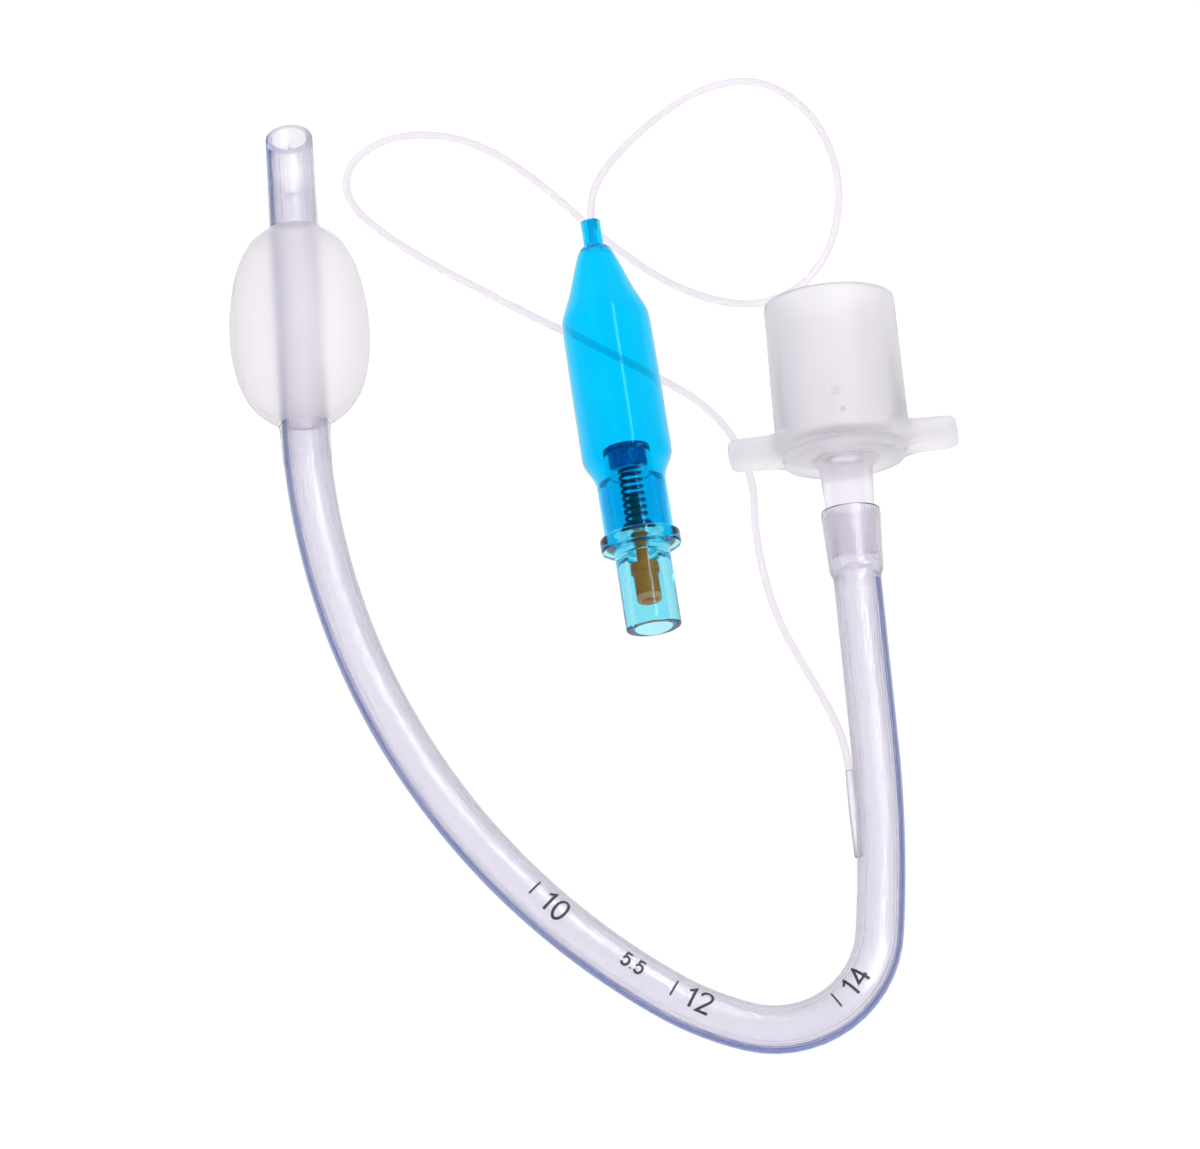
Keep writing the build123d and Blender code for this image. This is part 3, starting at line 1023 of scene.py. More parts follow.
@dataclass
class Tube:
    """Clear tube with its bevelled tip, eye, strip, cuff, sleeves, line bond and stretched end; its print is made by
    DepthMarks.
    """

    skin: NodeTree
    drawn: NodeTree
    line: TubeLine = field(default_factory=TubeLine)
    ring_step: float = 1.5
    bore: float = 2.0
    tip_edge: float = 0.25
    bevel_blend: float = 9.0
    eye_station: float = 3.6
    eye_length: float = 5.3
    eye_width: float = 2.8
    eye_layers: tuple[Point, ...] = (
        (-4.0, 0.12), (-2.9, 0.12), (-2.7, 0.0), (-2.0, 0.0), (-1.0, 0.0),
    )
    flare_run: float = 2.6
    flare_shoulder: float = 1.3
    spigot_cover: float = 5.6
    stretched_wall: float = 0.7
    spigot_gap: float = 0.02
    strip_half_width: float = 0.82
    strip_half_thickness: float = 0.15
    strip_offset: float = 2.53
    cuff_start: float = 11.3
    cuff_wall: float = 0.08
    upper_sleeve: float = 5.6
    lower_sleeve: float = 4.8
    sleeve_gap: float = 0.02
    sleeve_wall: float = 0.28
    bond_station: float = 167.4
    bond_length: float = 10.4
    bond_tip_rise: float = 2.75
    bond_mouth_rise: float = 3.2

    @property
    def stations(self) -> list[float]:
        """Stations of the rings between the tip and the outlet."""
        return [index * self.ring_step for index in range(1, int(self.line.outlet / self.ring_step))]

    def lead(self, share: float) -> Callable[[float], float]:
        """Slant of the tip's rings, from the full bevel at 0 to none at 1."""
        return lambda up: up * (1 - smooth_step(share))

    def build_eye_cutter(self, tube: LaidTube) -> Piece:
        """Make the block that cuts the side eye, a little wider at the tube's outside."""
        rings = []
        for height, grow in self.eye_layers:
            half_length, half_width = self.eye_length / 2 + grow, self.eye_width / 2 + grow
            rings.append([tube.at(self.eye_station + half_length * x, half_width * y, height)
                          for x, y in circle(40)])
        cutter = Shell("eye_cutter").rod(rings, 35.0)
        for polygon in cutter.data.polygons:
            polygon.material_index = 1
        return cutter

    def build_shaft(self, tube: LaidTube, connector: Connector, vinyl: Material,
                    edge_finish: Material) -> Piece:
        """Make the tube's wall with its tip, eye and stretched end.

        Args:
            tube: The laid tube.
            connector: The connector that the end is stretched over.
            vinyl: Finish of the wall.
            edge_finish: Finish of the cut faces at the tip and the eye.

        Returns:
            The new object.
        """
        count = 64
        radius, bore, edge = self.line.radius, self.bore, self.tip_edge
        outlet = self.line.outlet
        neck = outlet + self.flare_run
        end = neck + self.spigot_cover
        taper = (connector.spigot_radius - connector.spigot_end_radius) / connector.spigot_length
        foot = connector.spigot_end_radius + self.spigot_gap
        top = foot + taper * self.spigot_cover
        skirt, brim = foot + self.stretched_wall, top + self.stretched_wall

        def slanted(station: float, size: float) -> Ring:
            return tube.ring(station, size, count, self.lead(station / self.bevel_blend))

        outer = [slanted(edge, radius), *(slanted(s, radius) for s in self.stations if s > 2 * edge)]
        outer += tube.rings([
            (outlet, radius),
            *((outlet + self.flare_shoulder * share, radius + (skirt - radius) * smooth_step(share))
              for share in shares(6)),
            (end - 0.15, brim - 0.01), (end - 0.04, brim - 0.05), (end, brim - 0.15),
        ], count)
        inner = tube.rings([
            (end, top + 0.08), (end - 0.08, top), (neck, foot),
            *((neck - self.flare_shoulder * share, foot + (bore - foot) * smooth_step(share))
              for share in shares(5)),
        ], count)
        inner += [slanted(s, bore) for s in reversed(self.stations)]
        rim = [tube.ring(edge, bore, count, self.lead(0.02))]
        for station, size in ((edge * 0.3, bore + edge * 0.3), (0.0, bore + edge), (0.0, (radius + bore) / 2),
                              (0.0, radius - edge), (edge * 0.3, radius - edge * 0.3)):
            rim.append(tube.ring(station, size, count, self.lead(0)))
        shell = Shell("clear_tube")
        shell.skin([*outer, *inner, *rim], closed=True)
        for face in list(shell.mesh.faces)[-count * (len(rim) - 1):]:
            face.material_index = 1
        piece = shell.finish()
        cutter = self.build_eye_cutter(tube)
        for data in (piece.data, cutter.data):
            data.materials.append(vinyl)
            data.materials.append(edge_finish)
        join(piece, cutter, Joining.CUT)
        return piece

    def build_strip(self, tube: LaidTube) -> Piece:
        """Make the flat blue strip in the wall on the outside of the bend."""
        rings = []
        for station in (0.02, *self.stations, self.line.outlet):
            lead = self.lead(station / self.bevel_blend)
            spots = [(-self.strip_offset + self.strip_half_thickness * x, self.strip_half_width * y)
                     for x, y in circle(20)]
            rings.append([tube.at(station + lead(up), side, up) for side, up in spots])
        return Shell("strip_in_wall").rod(rings, 60.0)

    def build_cuff(self, tube: LaidTube) -> Piece:
        """Make the cuff's frosted film between its two sleeves."""
        start, wall = self.cuff_start, self.cuff_wall
        sleeve = self.line.radius + self.sleeve_gap + self.sleeve_wall
        length = self.line.stretches[0][0] - start
        curve = spline_through([
            (sleeve + 0.02, 0.0), (4.75, 1.25), (5.75, 2.45), (7.05, 5.2), (7.85, 9.0), (8.1, 12.3),
            (7.95, 15.4), (7.35, 18.3), (6.4, 20.5), (5.0, 22.2), (sleeve + 0.02, length),
        ], 5)
        spots = [(start + height, size) for size, height in curve]
        for size, height in curve[::-1]:
            shift = wall * (1 if height < length * 0.3 else -1 if height > length * 0.8 else 0)
            inside = min(max(height + shift, 0.02), length - 0.02)
            spots.append((start + inside, max(size - wall, sleeve - wall)))
        shell = Shell("cuff_film")
        shell.skin(tube.rings(spots, 96), closed=True)
        return shell.finish(50.0)

    def build_sleeve(self, tube: LaidTube, name: str, first: float, last: float) -> Piece:
        """Make one of the clear sleeves that bond the cuff to the tube.

        Args:
            tube: The laid tube.
            name: Name of the piece.
            first: Station of the thin end, away from the cuff.
            last: Station of the end at the cuff.

        Returns:
            The new object.
        """
        inside, span = self.line.radius + self.sleeve_gap, last - first
        profile = [
            (0.0, 0.01), (0.12, 0.04), (0.3, 0.08), (0.6, 0.12), (0.85, 0.16), (1.0, self.sleeve_wall),
        ]
        spots = [(first + span * share, inside + wall) for share, wall in profile]
        spots += [(first + span * share, inside) for share, wall in profile[::-1]]
        shell = Shell(name)
        shell.skin(tube.rings(spots, 96), closed=True)
        return shell.finish(60.0)

    def build_bond(self, tube: LaidTube) -> Piece:
        """Make the bonded end of the inflation line, half sunk in the wall."""
        tip = tube.at(self.bond_station - self.bond_length, self.bond_tip_rise)
        mouth = tube.at(self.bond_station, self.bond_mouth_rise)
        ahead = (mouth - tip).normalized()
        side = ahead.cross(Vector((0, 0, 1))).normalized()
        up = side.cross(ahead)
        rings = []
        for share, size in ((0.0, 0.18), (0.01, 0.25), (0.25, 0.34), (0.5, 0.43), (0.99, 0.43), (1.0, 0.38)):
            middle = tip.lerp(mouth, share)
            rings.append([middle + (side * x + up * y) * size * MM for x, y in circle(24)])
        return Shell("line_bond_end").rod(rings, 50.0)

    def build(self, tube: LaidTube, connector: Connector) -> None:
        """Make the tube's pieces and dress them.

        Args:
            tube: The laid tube.
            connector: The connector that the end is stretched over.
        """
        vinyl = CLEAR_VINYL.build(self.drawn)
        shaft = self.build_shaft(tube, connector, vinyl, CUT_VINYL.build(self.skin))
        dress(shaft, vinyl, Finish.TUBE, Body.TUBE, "tube_shaft")
        dress(self.build_strip(tube), BLUE_STRIP.build(self.skin), Finish.STRIP, Body.TUBE, "radiopaque_line")
        dress(self.build_cuff(tube), CUFF_FILM.build(self.skin), Finish.CUFF, Body.TUBE, "cuff")
        clear = SLEEVE_FILM.build(self.skin)
        start, end = self.cuff_start, self.line.stretches[0][0]
        reaches = ((start - self.upper_sleeve, start + 0.1), (end + self.lower_sleeve, end - 0.1))
        for number, (first, last) in enumerate(reaches, start=1):
            sleeve = self.build_sleeve(tube, f"cuff_sleeve_{number}", first, last)
            dress(sleeve, clear, Finish.CUFF, Body.TUBE)
        dress(self.build_bond(tube), vinyl, Finish.BOND, Body.TUBE, "line_bond")


@dataclass
class DepthMarks:
    """Printed ticks and plain numbers that count the centimetres from the tip."""

    skin: NodeTree
    surface: float = 2.762
    height: float = 2.5
    small_height: float = 1.55
    small_weight: float = 0.62
    stroke: float = 0.35
    tick_length: float = 2.0
    tick_stroke: float = 0.24
    across: float = 0.55
    marks: tuple[tuple[float, str], ...] = ((98.3, "10"), (118.0, "12"), (138.0, "14"))
    number_gap: float = 1.55
    size_station: float = 111.2
    size_text: str = "5.5"
    longest_step: float = 0.25

    @property
    def glyphs(self) -> dict[str, tuple[float, list[list[Point]]]]:
        """Advance and pen strokes of each digit, for a height of 1."""
        turns = [pi * (0.78 - 1.62 * step / 14) for step in range(15)]
        bowl = [(0.29 + 0.29 * cos(turn), 0.33 + 0.33 * sin(turn)) for turn in turns]
        turns = [pi * (1 - 1.22 * step / 10) for step in range(11)]
        hook = [(0.29 + 0.27 * cos(turn), 0.72 + 0.28 * sin(turn)) for turn in turns]
        zero = [(0.29 + 0.27 * x, 0.5 + 0.5 * y) for x, y in [*circle(24), (1.0, 0.0)]]
        return {
            "0": (0.78, [zero]),
            "1": (0.66, [[(0.08, 0.74), (0.22, 0.84), (0.34, 1.0), (0.34, 0.0)]]),
            "2": (0.76, [[*hook, (0.32, 0.34), (0.04, 0.0), (0.58, 0.0)]]),
            "4": (0.76, [[(0.44, 0.0), (0.44, 1.0), (0.0, 0.3), (0.6, 0.3)]]),
            "5": (0.78, [[(0.54, 1.0), (0.14, 1.0), (0.07, 0.52), *bowl]]),
            ".": (0.36, [[(0.1, 0.0), (0.1, 0.1)]]),
        }

    def pen(self, shell: Shell, tube: LaidTube, points: Outline, half: float) -> None:
        """Draw one stroke on the tube.

        Args:
            shell: The print being made.
            tube: The laid tube.
            points: Points of the stroke as station and distance round the tube, in millimetres.
            half: Half the stroke's width.
        """
        fine = []
        for (x0, y0), (x1, y1) in zip(points, points[1:]):
            steps = max(1, int(abs(y1 - y0) / self.longest_step))
            fine += [(x0 + (x1 - x0) * step / steps, y0 + (y1 - y0) * step / steps)
                     for step in range(steps)]
        fine.append(points[-1])
        count = len(fine)
        pairs = []
        for index, (x, y) in enumerate(fine):
            before = Vector(fine[max(index - 1, 0)])
            after = Vector(fine[min(index + 1, count - 1)])
            here = Vector((x, y))
            into, away = (here - before).normalized(), (after - here).normalized()
            ahead = (into + away).normalized() if (into + away).length > 0.1 else away
            widen = 1 / max(0.5, ahead.dot(away if index < count - 1 else into))
            side = Vector((-ahead.y, ahead.x)) * half * widen
            pair = []
            for spot in (here - side, here + side):
                angle = spot.y / self.surface
                pair.append(tube.at(spot.x, self.surface * sin(angle), self.surface * cos(angle)))
            pairs.append(shell.ring(pair))
        for first, second in zip(pairs, pairs[1:]):
            shell.mesh.faces.new((first[0], first[1], second[1], second[0]))

    def number(self, tube: LaidTube, text: str, station: float, height: float,
               across: float) -> Piece:
        """Make one printed number.

        Args:
            tube: The laid tube.
            text: The digits.
            station: Station of its left edge.
            height: Height of the digits.
            across: Distance of its middle round the tube from the top.

        Returns:
            The new object.
        """
        shell = Shell(f"print_number_{text.replace('.', '_')}")
        weight = self.small_weight + (1 - self.small_weight) * height / self.height
        half = self.stroke / 2 * weight
        start = station
        for digit in text:
            advance, strokes = self.glyphs[digit]
            for stroke in strokes:
                points = [(start + x * height, across + (y - 0.5) * height) for x, y in stroke]
                self.pen(shell, tube, points, half)
            start += advance * height
        return shell.finish()

    def tick(self, tube: LaidTube, station: float, label: str) -> Piece:
        """Make one printed tick across the tube."""
        shell = Shell(f"print_tick_{label}")
        half = self.tick_length / 2
        self.pen(shell, tube, [(station, self.across - half), (station, self.across + half)],
                 self.tick_stroke / 2)
        return shell.finish()

    def build(self, tube: LaidTube) -> None:
        """Make the print and dress it."""
        ink = BLACK_INK.build(self.skin)
        for station, text in self.marks:
            dress(self.tick(tube, station, text), ink, Finish.TUBE, Body.TUBE)
            number = self.number(tube, text, station + self.number_gap, self.height, self.across)
            dress(number, ink, Finish.TUBE, Body.TUBE)
        size = self.number(tube, self.size_text, self.size_station, self.small_height, self.across)
        dress(size, ink, Finish.TUBE, Body.TUBE)


@dataclass
class InflationLine:
    """Fine line from the tube's wall to the neck of the pilot balloon."""

    skin: NodeTree
    diameter: float = 0.86
    length: float = 232.0
    route: tuple[Triple, ...] = (
        (29.17, -23.29, 5.09), (28.93, -20.31, 5.31), (26.4, -13.9, 3.7), (23.4, -8.2, 2.3),
        (20.6, -1.6, 0.9), (18.8, 6.9, 0.43), (18.7, 14.8, 0.43), (14.4, 22.7, 0.43),
        (4.6, 28.5, 0.43), (-9.4, 35.6, 0.43), (-22.9, 43.4, 0.43), (-29.3, 49.2, 0.43),
        (-28.3, 54.7, 0.43), (-21.9, 57.9, 0.43), (-13.4, 56.6, 0.43), (-5.9, 51.2, 0.43),
        (1.1, 44.2, 0.43), (10.2, 37.4, 0.43), (19.9, 35.2, 0.43), (27.0, 40.0, 0.43),
        (29.6, 49.9, 0.43), (26.9, 59.4, 0.43), (20.1, 64.9, 0.43), (12.3, 63.2, 1.0),
        (5.4, 56.6, 3.2), (1.2, 50.4, 6.2), (-0.51, 45.48, 7.04), (0.18, 40.84, 6.77),
    )

    def build(self) -> Piece:
        """Draw the line as one smooth spline.

        Returns:
            The line.
        """
        curve = bpy.data.curves.new("inflation_line_tubing", "CURVE")
        curve.dimensions = "3D"
        spline = curve.splines.new("NURBS")
        spline.points.add(len(self.route) - 1)
        for point, (x, y, z) in zip(spline.points, self.route):
            point.co = (x * MM, y * MM, z * MM, 1.0)
        spline.order_u = 3
        spline.use_endpoint_u = True
        spline.resolution_u = 12
        curve.bevel_depth = self.diameter / 2 * MM
        curve.bevel_resolution = 5
        curve.use_fill_caps = True
        piece = bpy.data.objects.new("inflation_line_tubing", curve)
        bpy.context.scene.collection.objects.link(piece)
        dress(piece, LINE_VINYL.build(self.skin), Finish.LINE, Body.TUBE, "inflation_line")
        return piece

    def declare(self, piece: Piece, carried: list[Piece]) -> None:
        """Say how long the line is and what it carries.

        Args:
            piece: The line.
            carried: The pieces at its far end.
        """
        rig.cord(
            piece, exit=[value * MM for value in self.route[0]], length=self.length * MM,
            diameter=self.diameter * MM, far_end="fitting", stiffness="medium", lay="loose",
            with_pieces=carried,
        )


@dataclass
class PilotValve:
    """Pilot balloon with its valve: housing, retainer, spring, seal and plunger."""

    skin: NodeTree
    heading: float = -81.5
    flange_spot: Point = (5.6, 4.6)
    neck_radius: float = 1.15
    neck_length: float = 3.1
    neck_step: float = 1.55
    cone_run: float = 9.0
    swell_run: float = 14.2
    full_run: float = 2.8
    shoulder_run: float = 2.8
    cone_end: float = 5.1
    cone_flat: float = 0.863
    full_radius: float = 5.25
    sleeve_radius: float = 4.0
    sleeve_bore: float = 3.67
    sleeve_length: float = 6.8
    film: float = 0.18
    line_bore: float = 0.45
    spigot_radius: float = 3.63
    rim_radius: float = 4.65
    rim_thickness: float = 1.6
    luer_radius: float = 3.2
    luer_length: float = 9.6
    luer_bore: float = 2.15
    luer_taper: float = 0.06
    barrel_radius: float = 2.75
    barrel_length: float = 10.0
    barrel_bore: float = 2.2
    seat_thickness: float = 1.9
    seat_bore: float = 1.0
    retainer_cap: float = 0.7
    retainer_plug: float = 1.9
    retainer_bore: float = 0.85
    spring_radius: float = 1.175
    spring_wire: float = 0.2
    spring_turns: int = 8
    seal_radius: float = 1.95
    seal_thickness: float = 1.2
    seal_lip: float = 0.4
    seal_gap: float = 0.05
    stem_radius: float = 0.725
    guide_radius: float = 0.575
    guide_length: float = 3.2
    travel: float = 1.6
    collar_radius: float = 1.7
    collar_thickness: float = 1.1
    head_radius: float = 1.475
    head_length: float = 3.2
    head_mouth: float = 1.05
    end_ring: float = 0.6

    @property
    def heights(self) -> dict[str, float]:
        """Heights along the axis from the end of the neck."""
        cone = self.neck_length + self.cone_run
        full = cone + self.swell_run
        shoulder = full + self.full_run
        sleeve = shoulder + self.shoulder_run
        rim = sleeve + self.sleeve_length
        barrel = rim - self.barrel_length
        seat = rim + self.seat_thickness
        collar = seat + self.travel
        head = collar + self.collar_thickness
        end = head + self.head_length
        return {
            "cone": cone, "full": full, "shoulder": shoulder, "sleeve": sleeve, "rim": rim,
            "seat": seat, "luer": rim + self.rim_thickness,
            "mouth": rim + self.rim_thickness + self.luer_length, "barrel": barrel,
            "spring": barrel + self.retainer_plug, "seal": rim - self.seal_gap - self.seal_thickness,
            "collar": collar, "head": head, "ring": end - self.end_ring, "end": end,
        }

    def place(self) -> Matrix:
        """Matrix in metres of the end of the neck: Z along the axis to the mouth, X level."""
        at = self.heights
        middle = at["rim"] + self.rim_thickness / 2
        pitch = asin((self.full_radius - self.rim_radius) / (middle - at["shoulder"]))
        level = Vector((cos(radians(self.heading)), sin(radians(self.heading)), 0))
        axis = level * cos(pitch) - Vector((0, 0, sin(pitch)))
        across = Vector((-level.y, level.x, 0))
        origin = Vector((*self.flange_spot, self.rim_radius)) - axis * middle
        matrix = axes(across, axis.cross(across), axis)
        matrix.translation = origin * MM
        return matrix

    def flatness(self, height: float) -> float:
        """Share of the width that the balloon's depth keeps at a height."""
        at = self.heights
        if height <= self.neck_length:
            return 1.0
        if height <= at["cone"]:
            return 1.0 + (self.cone_flat - 1.0) * (height - self.neck_length) / self.cone_run
        return min(1.0, self.cone_flat + (1 - self.cone_flat) * (height - at["cone"]) / self.swell_run)

    def build_balloon(self, place: Matrix) -> Piece:
        """Make the balloon's film with its neck and its sleeve."""
        at = self.heights
        neck, step, foot = self.neck_radius, self.neck_step, self.neck_length
        sleeve, bore = self.sleeve_radius, self.sleeve_bore
        swell = spline_through([
            (step - 0.12, foot + 0.1), (2.0, 3.9), (2.55, 5.3), (3.72, 8.7), (4.75, 11.1),
            (self.cone_end, at["cone"] + 0.5), (5.17, 16.2), (5.22, 21.0),
            (self.full_radius - 0.01, at["full"]), (5.22, at["shoulder"] - 0.3),
            (4.95, at["shoulder"] + 0.75), (4.3, at["sleeve"] - 0.75), (sleeve, at["sleeve"] + 0.25),
        ], 5)
        outer = [
            (neck - 0.1, 0.0), (neck, 0.12), (neck, foot - 0.1), (neck + 0.12, foot), *swell,
            (sleeve, at["rim"] - 0.4), (sleeve, at["rim"] - 0.02),
        ]
        inner = [(bore, at["rim"] - 0.02), (bore, at["sleeve"] + 0.2)]
        inner += [(size - self.film, height) for size, height in outer[::-1]
                  if foot + 0.6 < height < at["sleeve"] - 0.2]
        line = self.line_bore
        inner += [(0.8, foot + 0.35), (0.5, foot + 0.05), (line, foot - 0.4), (line, 0.0)]
        return turned("balloon_film", place, [*outer, *inner], 96, 50.0, self.flatness)

    def build_housing(self, place: Matrix) -> Piece:
        """Make the housing: luer socket, flange, spigot and spring barrel."""
        at, spigot = self.heights, self.spigot_radius
        floor = self.luer_bore - (at["mouth"] - at["seat"]) * self.luer_taper / 2
        outline = rounded([
            (self.barrel_bore, at["barrel"]), (self.barrel_radius, at["barrel"]),
            (self.barrel_radius, at["sleeve"]), (spigot, at["sleeve"] + 0.05), (spigot, at["rim"]),
            (self.rim_radius, at["rim"]), (self.rim_radius, at["luer"]), (self.luer_radius, at["luer"]),
            (self.luer_radius, at["mouth"]), (self.luer_bore, at["mouth"]), (floor, at["seat"]),
            (self.seat_bore, at["seat"]), (self.seat_bore, at["rim"]), (self.barrel_bore, at["rim"]),
        ], 0.28, 4)
        return turned("valve_body", place, outline, 96)

    def build_retainer(self, place: Matrix) -> Piece:
        """Make the cap at the barrel's inner end, with the plug that the spring stands on."""
        at = self.heights
        foot, plug = at["barrel"] - self.retainer_cap, self.barrel_bore - 0.02
        outline = rounded([
            (self.retainer_bore, foot), (self.barrel_radius, foot), (self.barrel_radius, at["barrel"]),
            (plug, at["barrel"]), (plug, at["spring"]), (self.retainer_bore, at["spring"]),
        ], 0.15, 3)
        return turned("spring_retainer", place, outline, 64)

    def build_spring(self, place: Matrix) -> Piece:
        """Make the coil spring."""
        at = self.heights
        low = at["spring"] + self.spring_wire
        high = at["seal"] - self.spring_wire
        steps = self.spring_turns * 28
        along = Vector((0, 0, 1))
        rings = []
        for step in range(steps + 1):
            share = step / steps
            angle = 2 * pi * self.spring_turns * share
            out = Vector((cos(angle), sin(angle), 0))
            middle = out * self.spring_radius + Vector((0, 0, low + (high - low) * share))
            rings.append([place @ ((middle + (out * x + along * y) * self.spring_wire) * MM)
                          for x, y in circle(10)])
        return Shell("valve_coil").rod(rings, 60.0)

    def build_seal(self, place: Matrix) -> Piece:
        """Make the soft seal round the stem."""
        low = self.heights["seal"]
        high = low + self.seal_thickness
        inside, outside, lip = self.stem_radius + 0.03, self.seal_radius, self.seal_lip
        outline = rounded([
            (inside, low), (outside - lip, low), (outside, high - lip), (outside, high), (inside, high),
        ], 0.15, 3)
        return turned("seat_seal", place, outline, 48)

    def build_pin(self, place: Matrix) -> Piece:
        """Make the plunger from its guide pin to its head."""
        at = self.heights
        foot, seal, collar, head = at["seal"] - self.guide_length, at["seal"], at["collar"], at["head"]
        outside = rounded([
            (self.guide_radius, foot), (self.guide_radius, seal), (self.stem_radius, seal),
            (self.stem_radius, collar), (self.collar_radius, collar), (self.collar_radius, head),
            (self.head_radius, head), (self.head_radius, at["ring"]),
        ], 0.12, 3)
        outline = [(0.0, foot), *outside[3:], (0.0, at["ring"])]
        return turned("plunger_pin", place, outline, 48)

    def build_end_ring(self, place: Matrix) -> Piece:
        """Make the pale ring at the plunger's outer end."""
        low, high = self.heights["ring"], self.heights["end"]
        inside, outside = self.head_mouth, self.head_radius
        outline = rounded([(inside, low), (outside, low), (outside, high), (inside, high)], 0.12, 3)
        return turned("plunger_end_ring", place, outline, 48)

    def build(self) -> list[Piece]:
        """Make the valve's pieces and dress them.

        Returns:
            The pieces.
        """
        at, skin = self.heights, self.skin
        place = self.place()
        ends = [place @ (Vector((0, 0, at[name])) * MM) for name in ("spring", "seal")]
        fixed, pushed = Body.TUBE, Body.PLUNGER
        return [
            dress(self.build_balloon(place), BALLOON_FILM.build(skin), Finish.BALLOON, fixed,
                  "pilot_balloon"),
            dress(self.build_housing(place), TURQUOISE_SHELL.build(skin), Finish.HOUSING, fixed,
                  "valve_housing"),
            dress(self.build_retainer(place), SMOKED_SHELL.build(skin), Finish.RETAINER, fixed,
                  "valve_retainer"),
            squeeze(self.build_spring(place), DRAWN_STEEL.build(skin), Finish.SPRING, *ends, "valve_spring"),
            dress(self.build_seal(place), DARK_RUBBER.build(skin), Finish.SEAL, pushed, "valve_seal"),
            dress(self.build_pin(place), BROWN_MOULDING.build(skin), Finish.PLUNGER, pushed, "valve_plunger"),
            dress(self.build_end_ring(place), PALE_MOULDING.build(skin), Finish.PLUNGER, pushed),
        ]


# ---- studio


@dataclass(frozen=True)
class Lamp:
    """A soft lamp that only puts highlights on the object, with place and size in metres."""

    name: str
    place: Triple
    size: Point
    watts: float

    def hang(self) -> None:
        """Hang the lamp so that it faces the object."""
        data = bpy.data.lights.new(self.name, "AREA")
        data.shape = "RECTANGLE"
        data.size, data.size_y = self.size
        data.energy = self.watts
        lamp = bpy.data.objects.new(self.name, data)
        lamp.location = self.place
        back = Vector(self.place).normalized()
        along = (Vector((0, 1, 0)) - back * back.y).normalized()
        lamp.rotation_euler = axes(along.cross(back), along, back).to_euler()
        lamp.visible_diffuse = False
        bpy.context.scene.collection.objects.link(lamp)


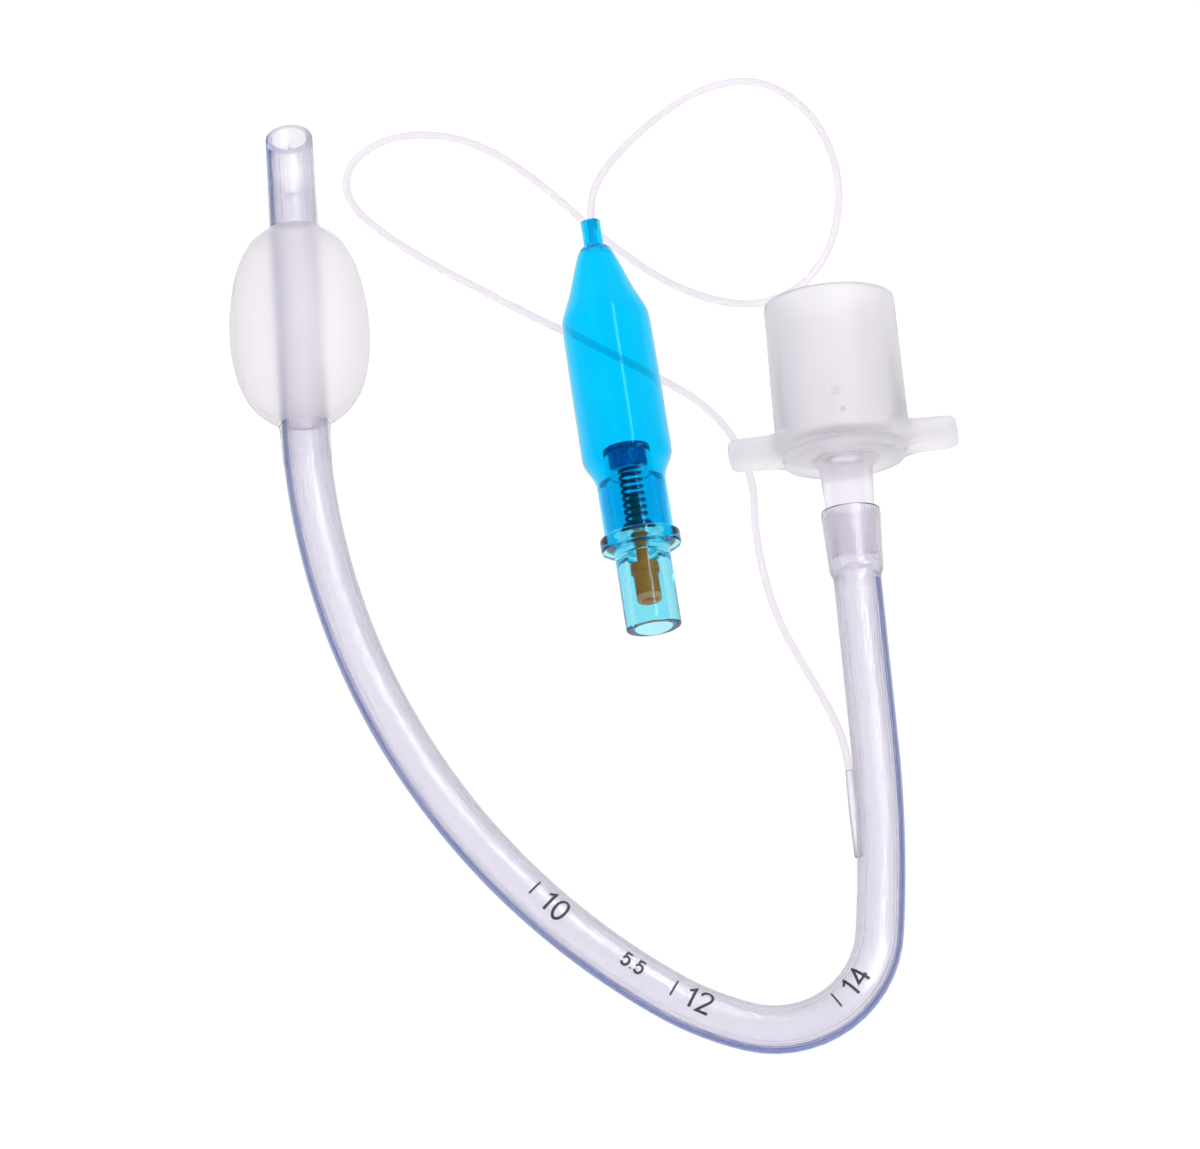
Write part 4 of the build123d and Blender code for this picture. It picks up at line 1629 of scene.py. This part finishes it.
@dataclass(frozen=True)
class Studio:
    """White table, soft lamps, a tent of cloth and the camera at the photograph's angle."""

    aim: Triple = (0.93, 2.4, 0.0)
    elevation: float = 69.5
    distance: float = 900.0
    lens: float = 234.36
    sensor: float = 36.0
    table_half: float = 1.6
    table_grey: float = 0.12
    bright: float = 0.97
    dim: float = 0.4
    bright_reach: float = 0.11
    dim_reach: float = 0.26
    cloth: Triple = (0.985, 0.985, 1.0)
    foot: float = 0.5
    top: float = 0.95
    top_rise: float = 0.6
    lamps: tuple[Lamp, ...] = (
        Lamp("key_lamp", (0.5, -0.12, 0.68), (0.24, 0.24), 3.0),
        Lamp("strip_lamp", (0.26, 0.36, 0.88), (0.08, 0.7), 5.2),
    )

    def camera(self) -> None:
        """Set the camera."""
        data = bpy.data.cameras.new("studio_camera")
        data.lens = self.lens
        data.sensor_width = self.sensor
        data.sensor_fit = "HORIZONTAL"
        data.clip_start = 0.05
        data.clip_end = 10.0
        camera = bpy.data.objects.new("studio_camera", data)
        back = Vector((0, -cos(radians(self.elevation)), sin(radians(self.elevation))))
        camera.location = (Vector(self.aim) + back * self.distance) * MM
        camera.rotation_euler = (radians(90 - self.elevation), 0, 0)
        bpy.context.scene.collection.objects.link(camera)
        bpy.context.scene.camera = camera

    def floor(self) -> None:
        """Lay the white table, bright under the object and dim farther out."""
        shell = Shell("white_table")
        half, grey = self.table_half, self.table_grey
        corners = ((-half, -half), (half, -half), (half, half), (-half, half))
        shell.cap(shell.ring(Vector((x, y, 0)) for x, y in corners))
        table = shell.finish()
        material = bpy.data.materials.new("white_table")
        material.use_nodes = True
        tree = material.node_tree
        shader = tree.nodes["Principled BSDF"]
        set_inputs(shader, {
            "Base Color": (grey, grey, grey, 1.0), "Roughness": 0.9, "Specular IOR Level": 0.0,
            "Emission Strength": 1.0,
        })
        place = tree.nodes.new("ShaderNodeTexCoord")
        distance = tree.nodes.new("ShaderNodeVectorMath")
        distance.operation = "LENGTH"
        fade = tree.nodes.new("ShaderNodeMapRange")
        fade.interpolation_type = "SMOOTHSTEP"
        set_inputs(fade, {
            "From Min": self.bright_reach, "From Max": self.dim_reach,
            "To Min": self.bright, "To Max": self.dim,
        })
        tree.links.new(place.outputs["Object"], distance.inputs[0])
        tree.links.new(distance.outputs["Value"], fade.inputs["Value"])
        tree.links.new(fade.outputs["Result"], shader.inputs["Emission Color"])
        table.data.materials.append(material)
        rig.stage(table)

    def sky(self) -> None:
        """Make the tent of cloth over the table, bright above and dimmer at its foot."""
        world = bpy.data.worlds.new("studio_world")
        world.use_nodes = True
        tree = world.node_tree
        backdrop = tree.nodes["Background"]
        place = tree.nodes.new("ShaderNodeTexCoord")
        split = tree.nodes.new("ShaderNodeSeparateXYZ")
        rise = tree.nodes.new("ShaderNodeMapRange")
        set_inputs(rise, {
            "From Min": 0.0, "From Max": self.top_rise, "To Min": self.foot, "To Max": self.top,
        })
        tree.links.new(place.outputs["Generated"], split.inputs[0])
        tree.links.new(split.outputs["Z"], rise.inputs["Value"])
        tree.links.new(rise.outputs["Result"], backdrop.inputs["Strength"])
        set_inputs(backdrop, {"Color": (*self.cloth, 1.0)})
        bpy.context.scene.world = world

    def build(self) -> None:
        """Set table, lamps and sky."""
        self.floor()
        for lamp in self.lamps:
            lamp.hang()
        self.sky()
        bpy.context.scene.view_settings.view_transform = "Standard"


def main() -> None:
    """Set the camera, build the cord and every sub-assembly, then set the table and its light."""
    logging.basicConfig(level=logging.INFO, format="%(message)s")
    skin = surface_skin("moulded_skin", False)
    studio = Studio()
    studio.camera()
    line = InflationLine(skin)
    tubing = line.build()
    connector = Connector(skin)
    tube = Tube(skin, surface_skin("drawn_skin", True))
    disc_station = tube.line.outlet + tube.flare_run + connector.spigot_length
    laid = LaidTube(tube.line, disc_station + connector.flange_middle)
    tube.build(laid, connector)
    connector.build(laid, disc_station)
    DepthMarks(skin).build(laid)
    line.declare(tubing, PilotValve(skin).build())
    studio.build()
    with open("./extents.json", "w") as file:
        json.dump({"cad": CAD_BOX, "visual": [list(corner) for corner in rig.bounds()]}, file)
    log.info("%s", json.load(open("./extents.json")))


if __name__ == "__main__":
    main()
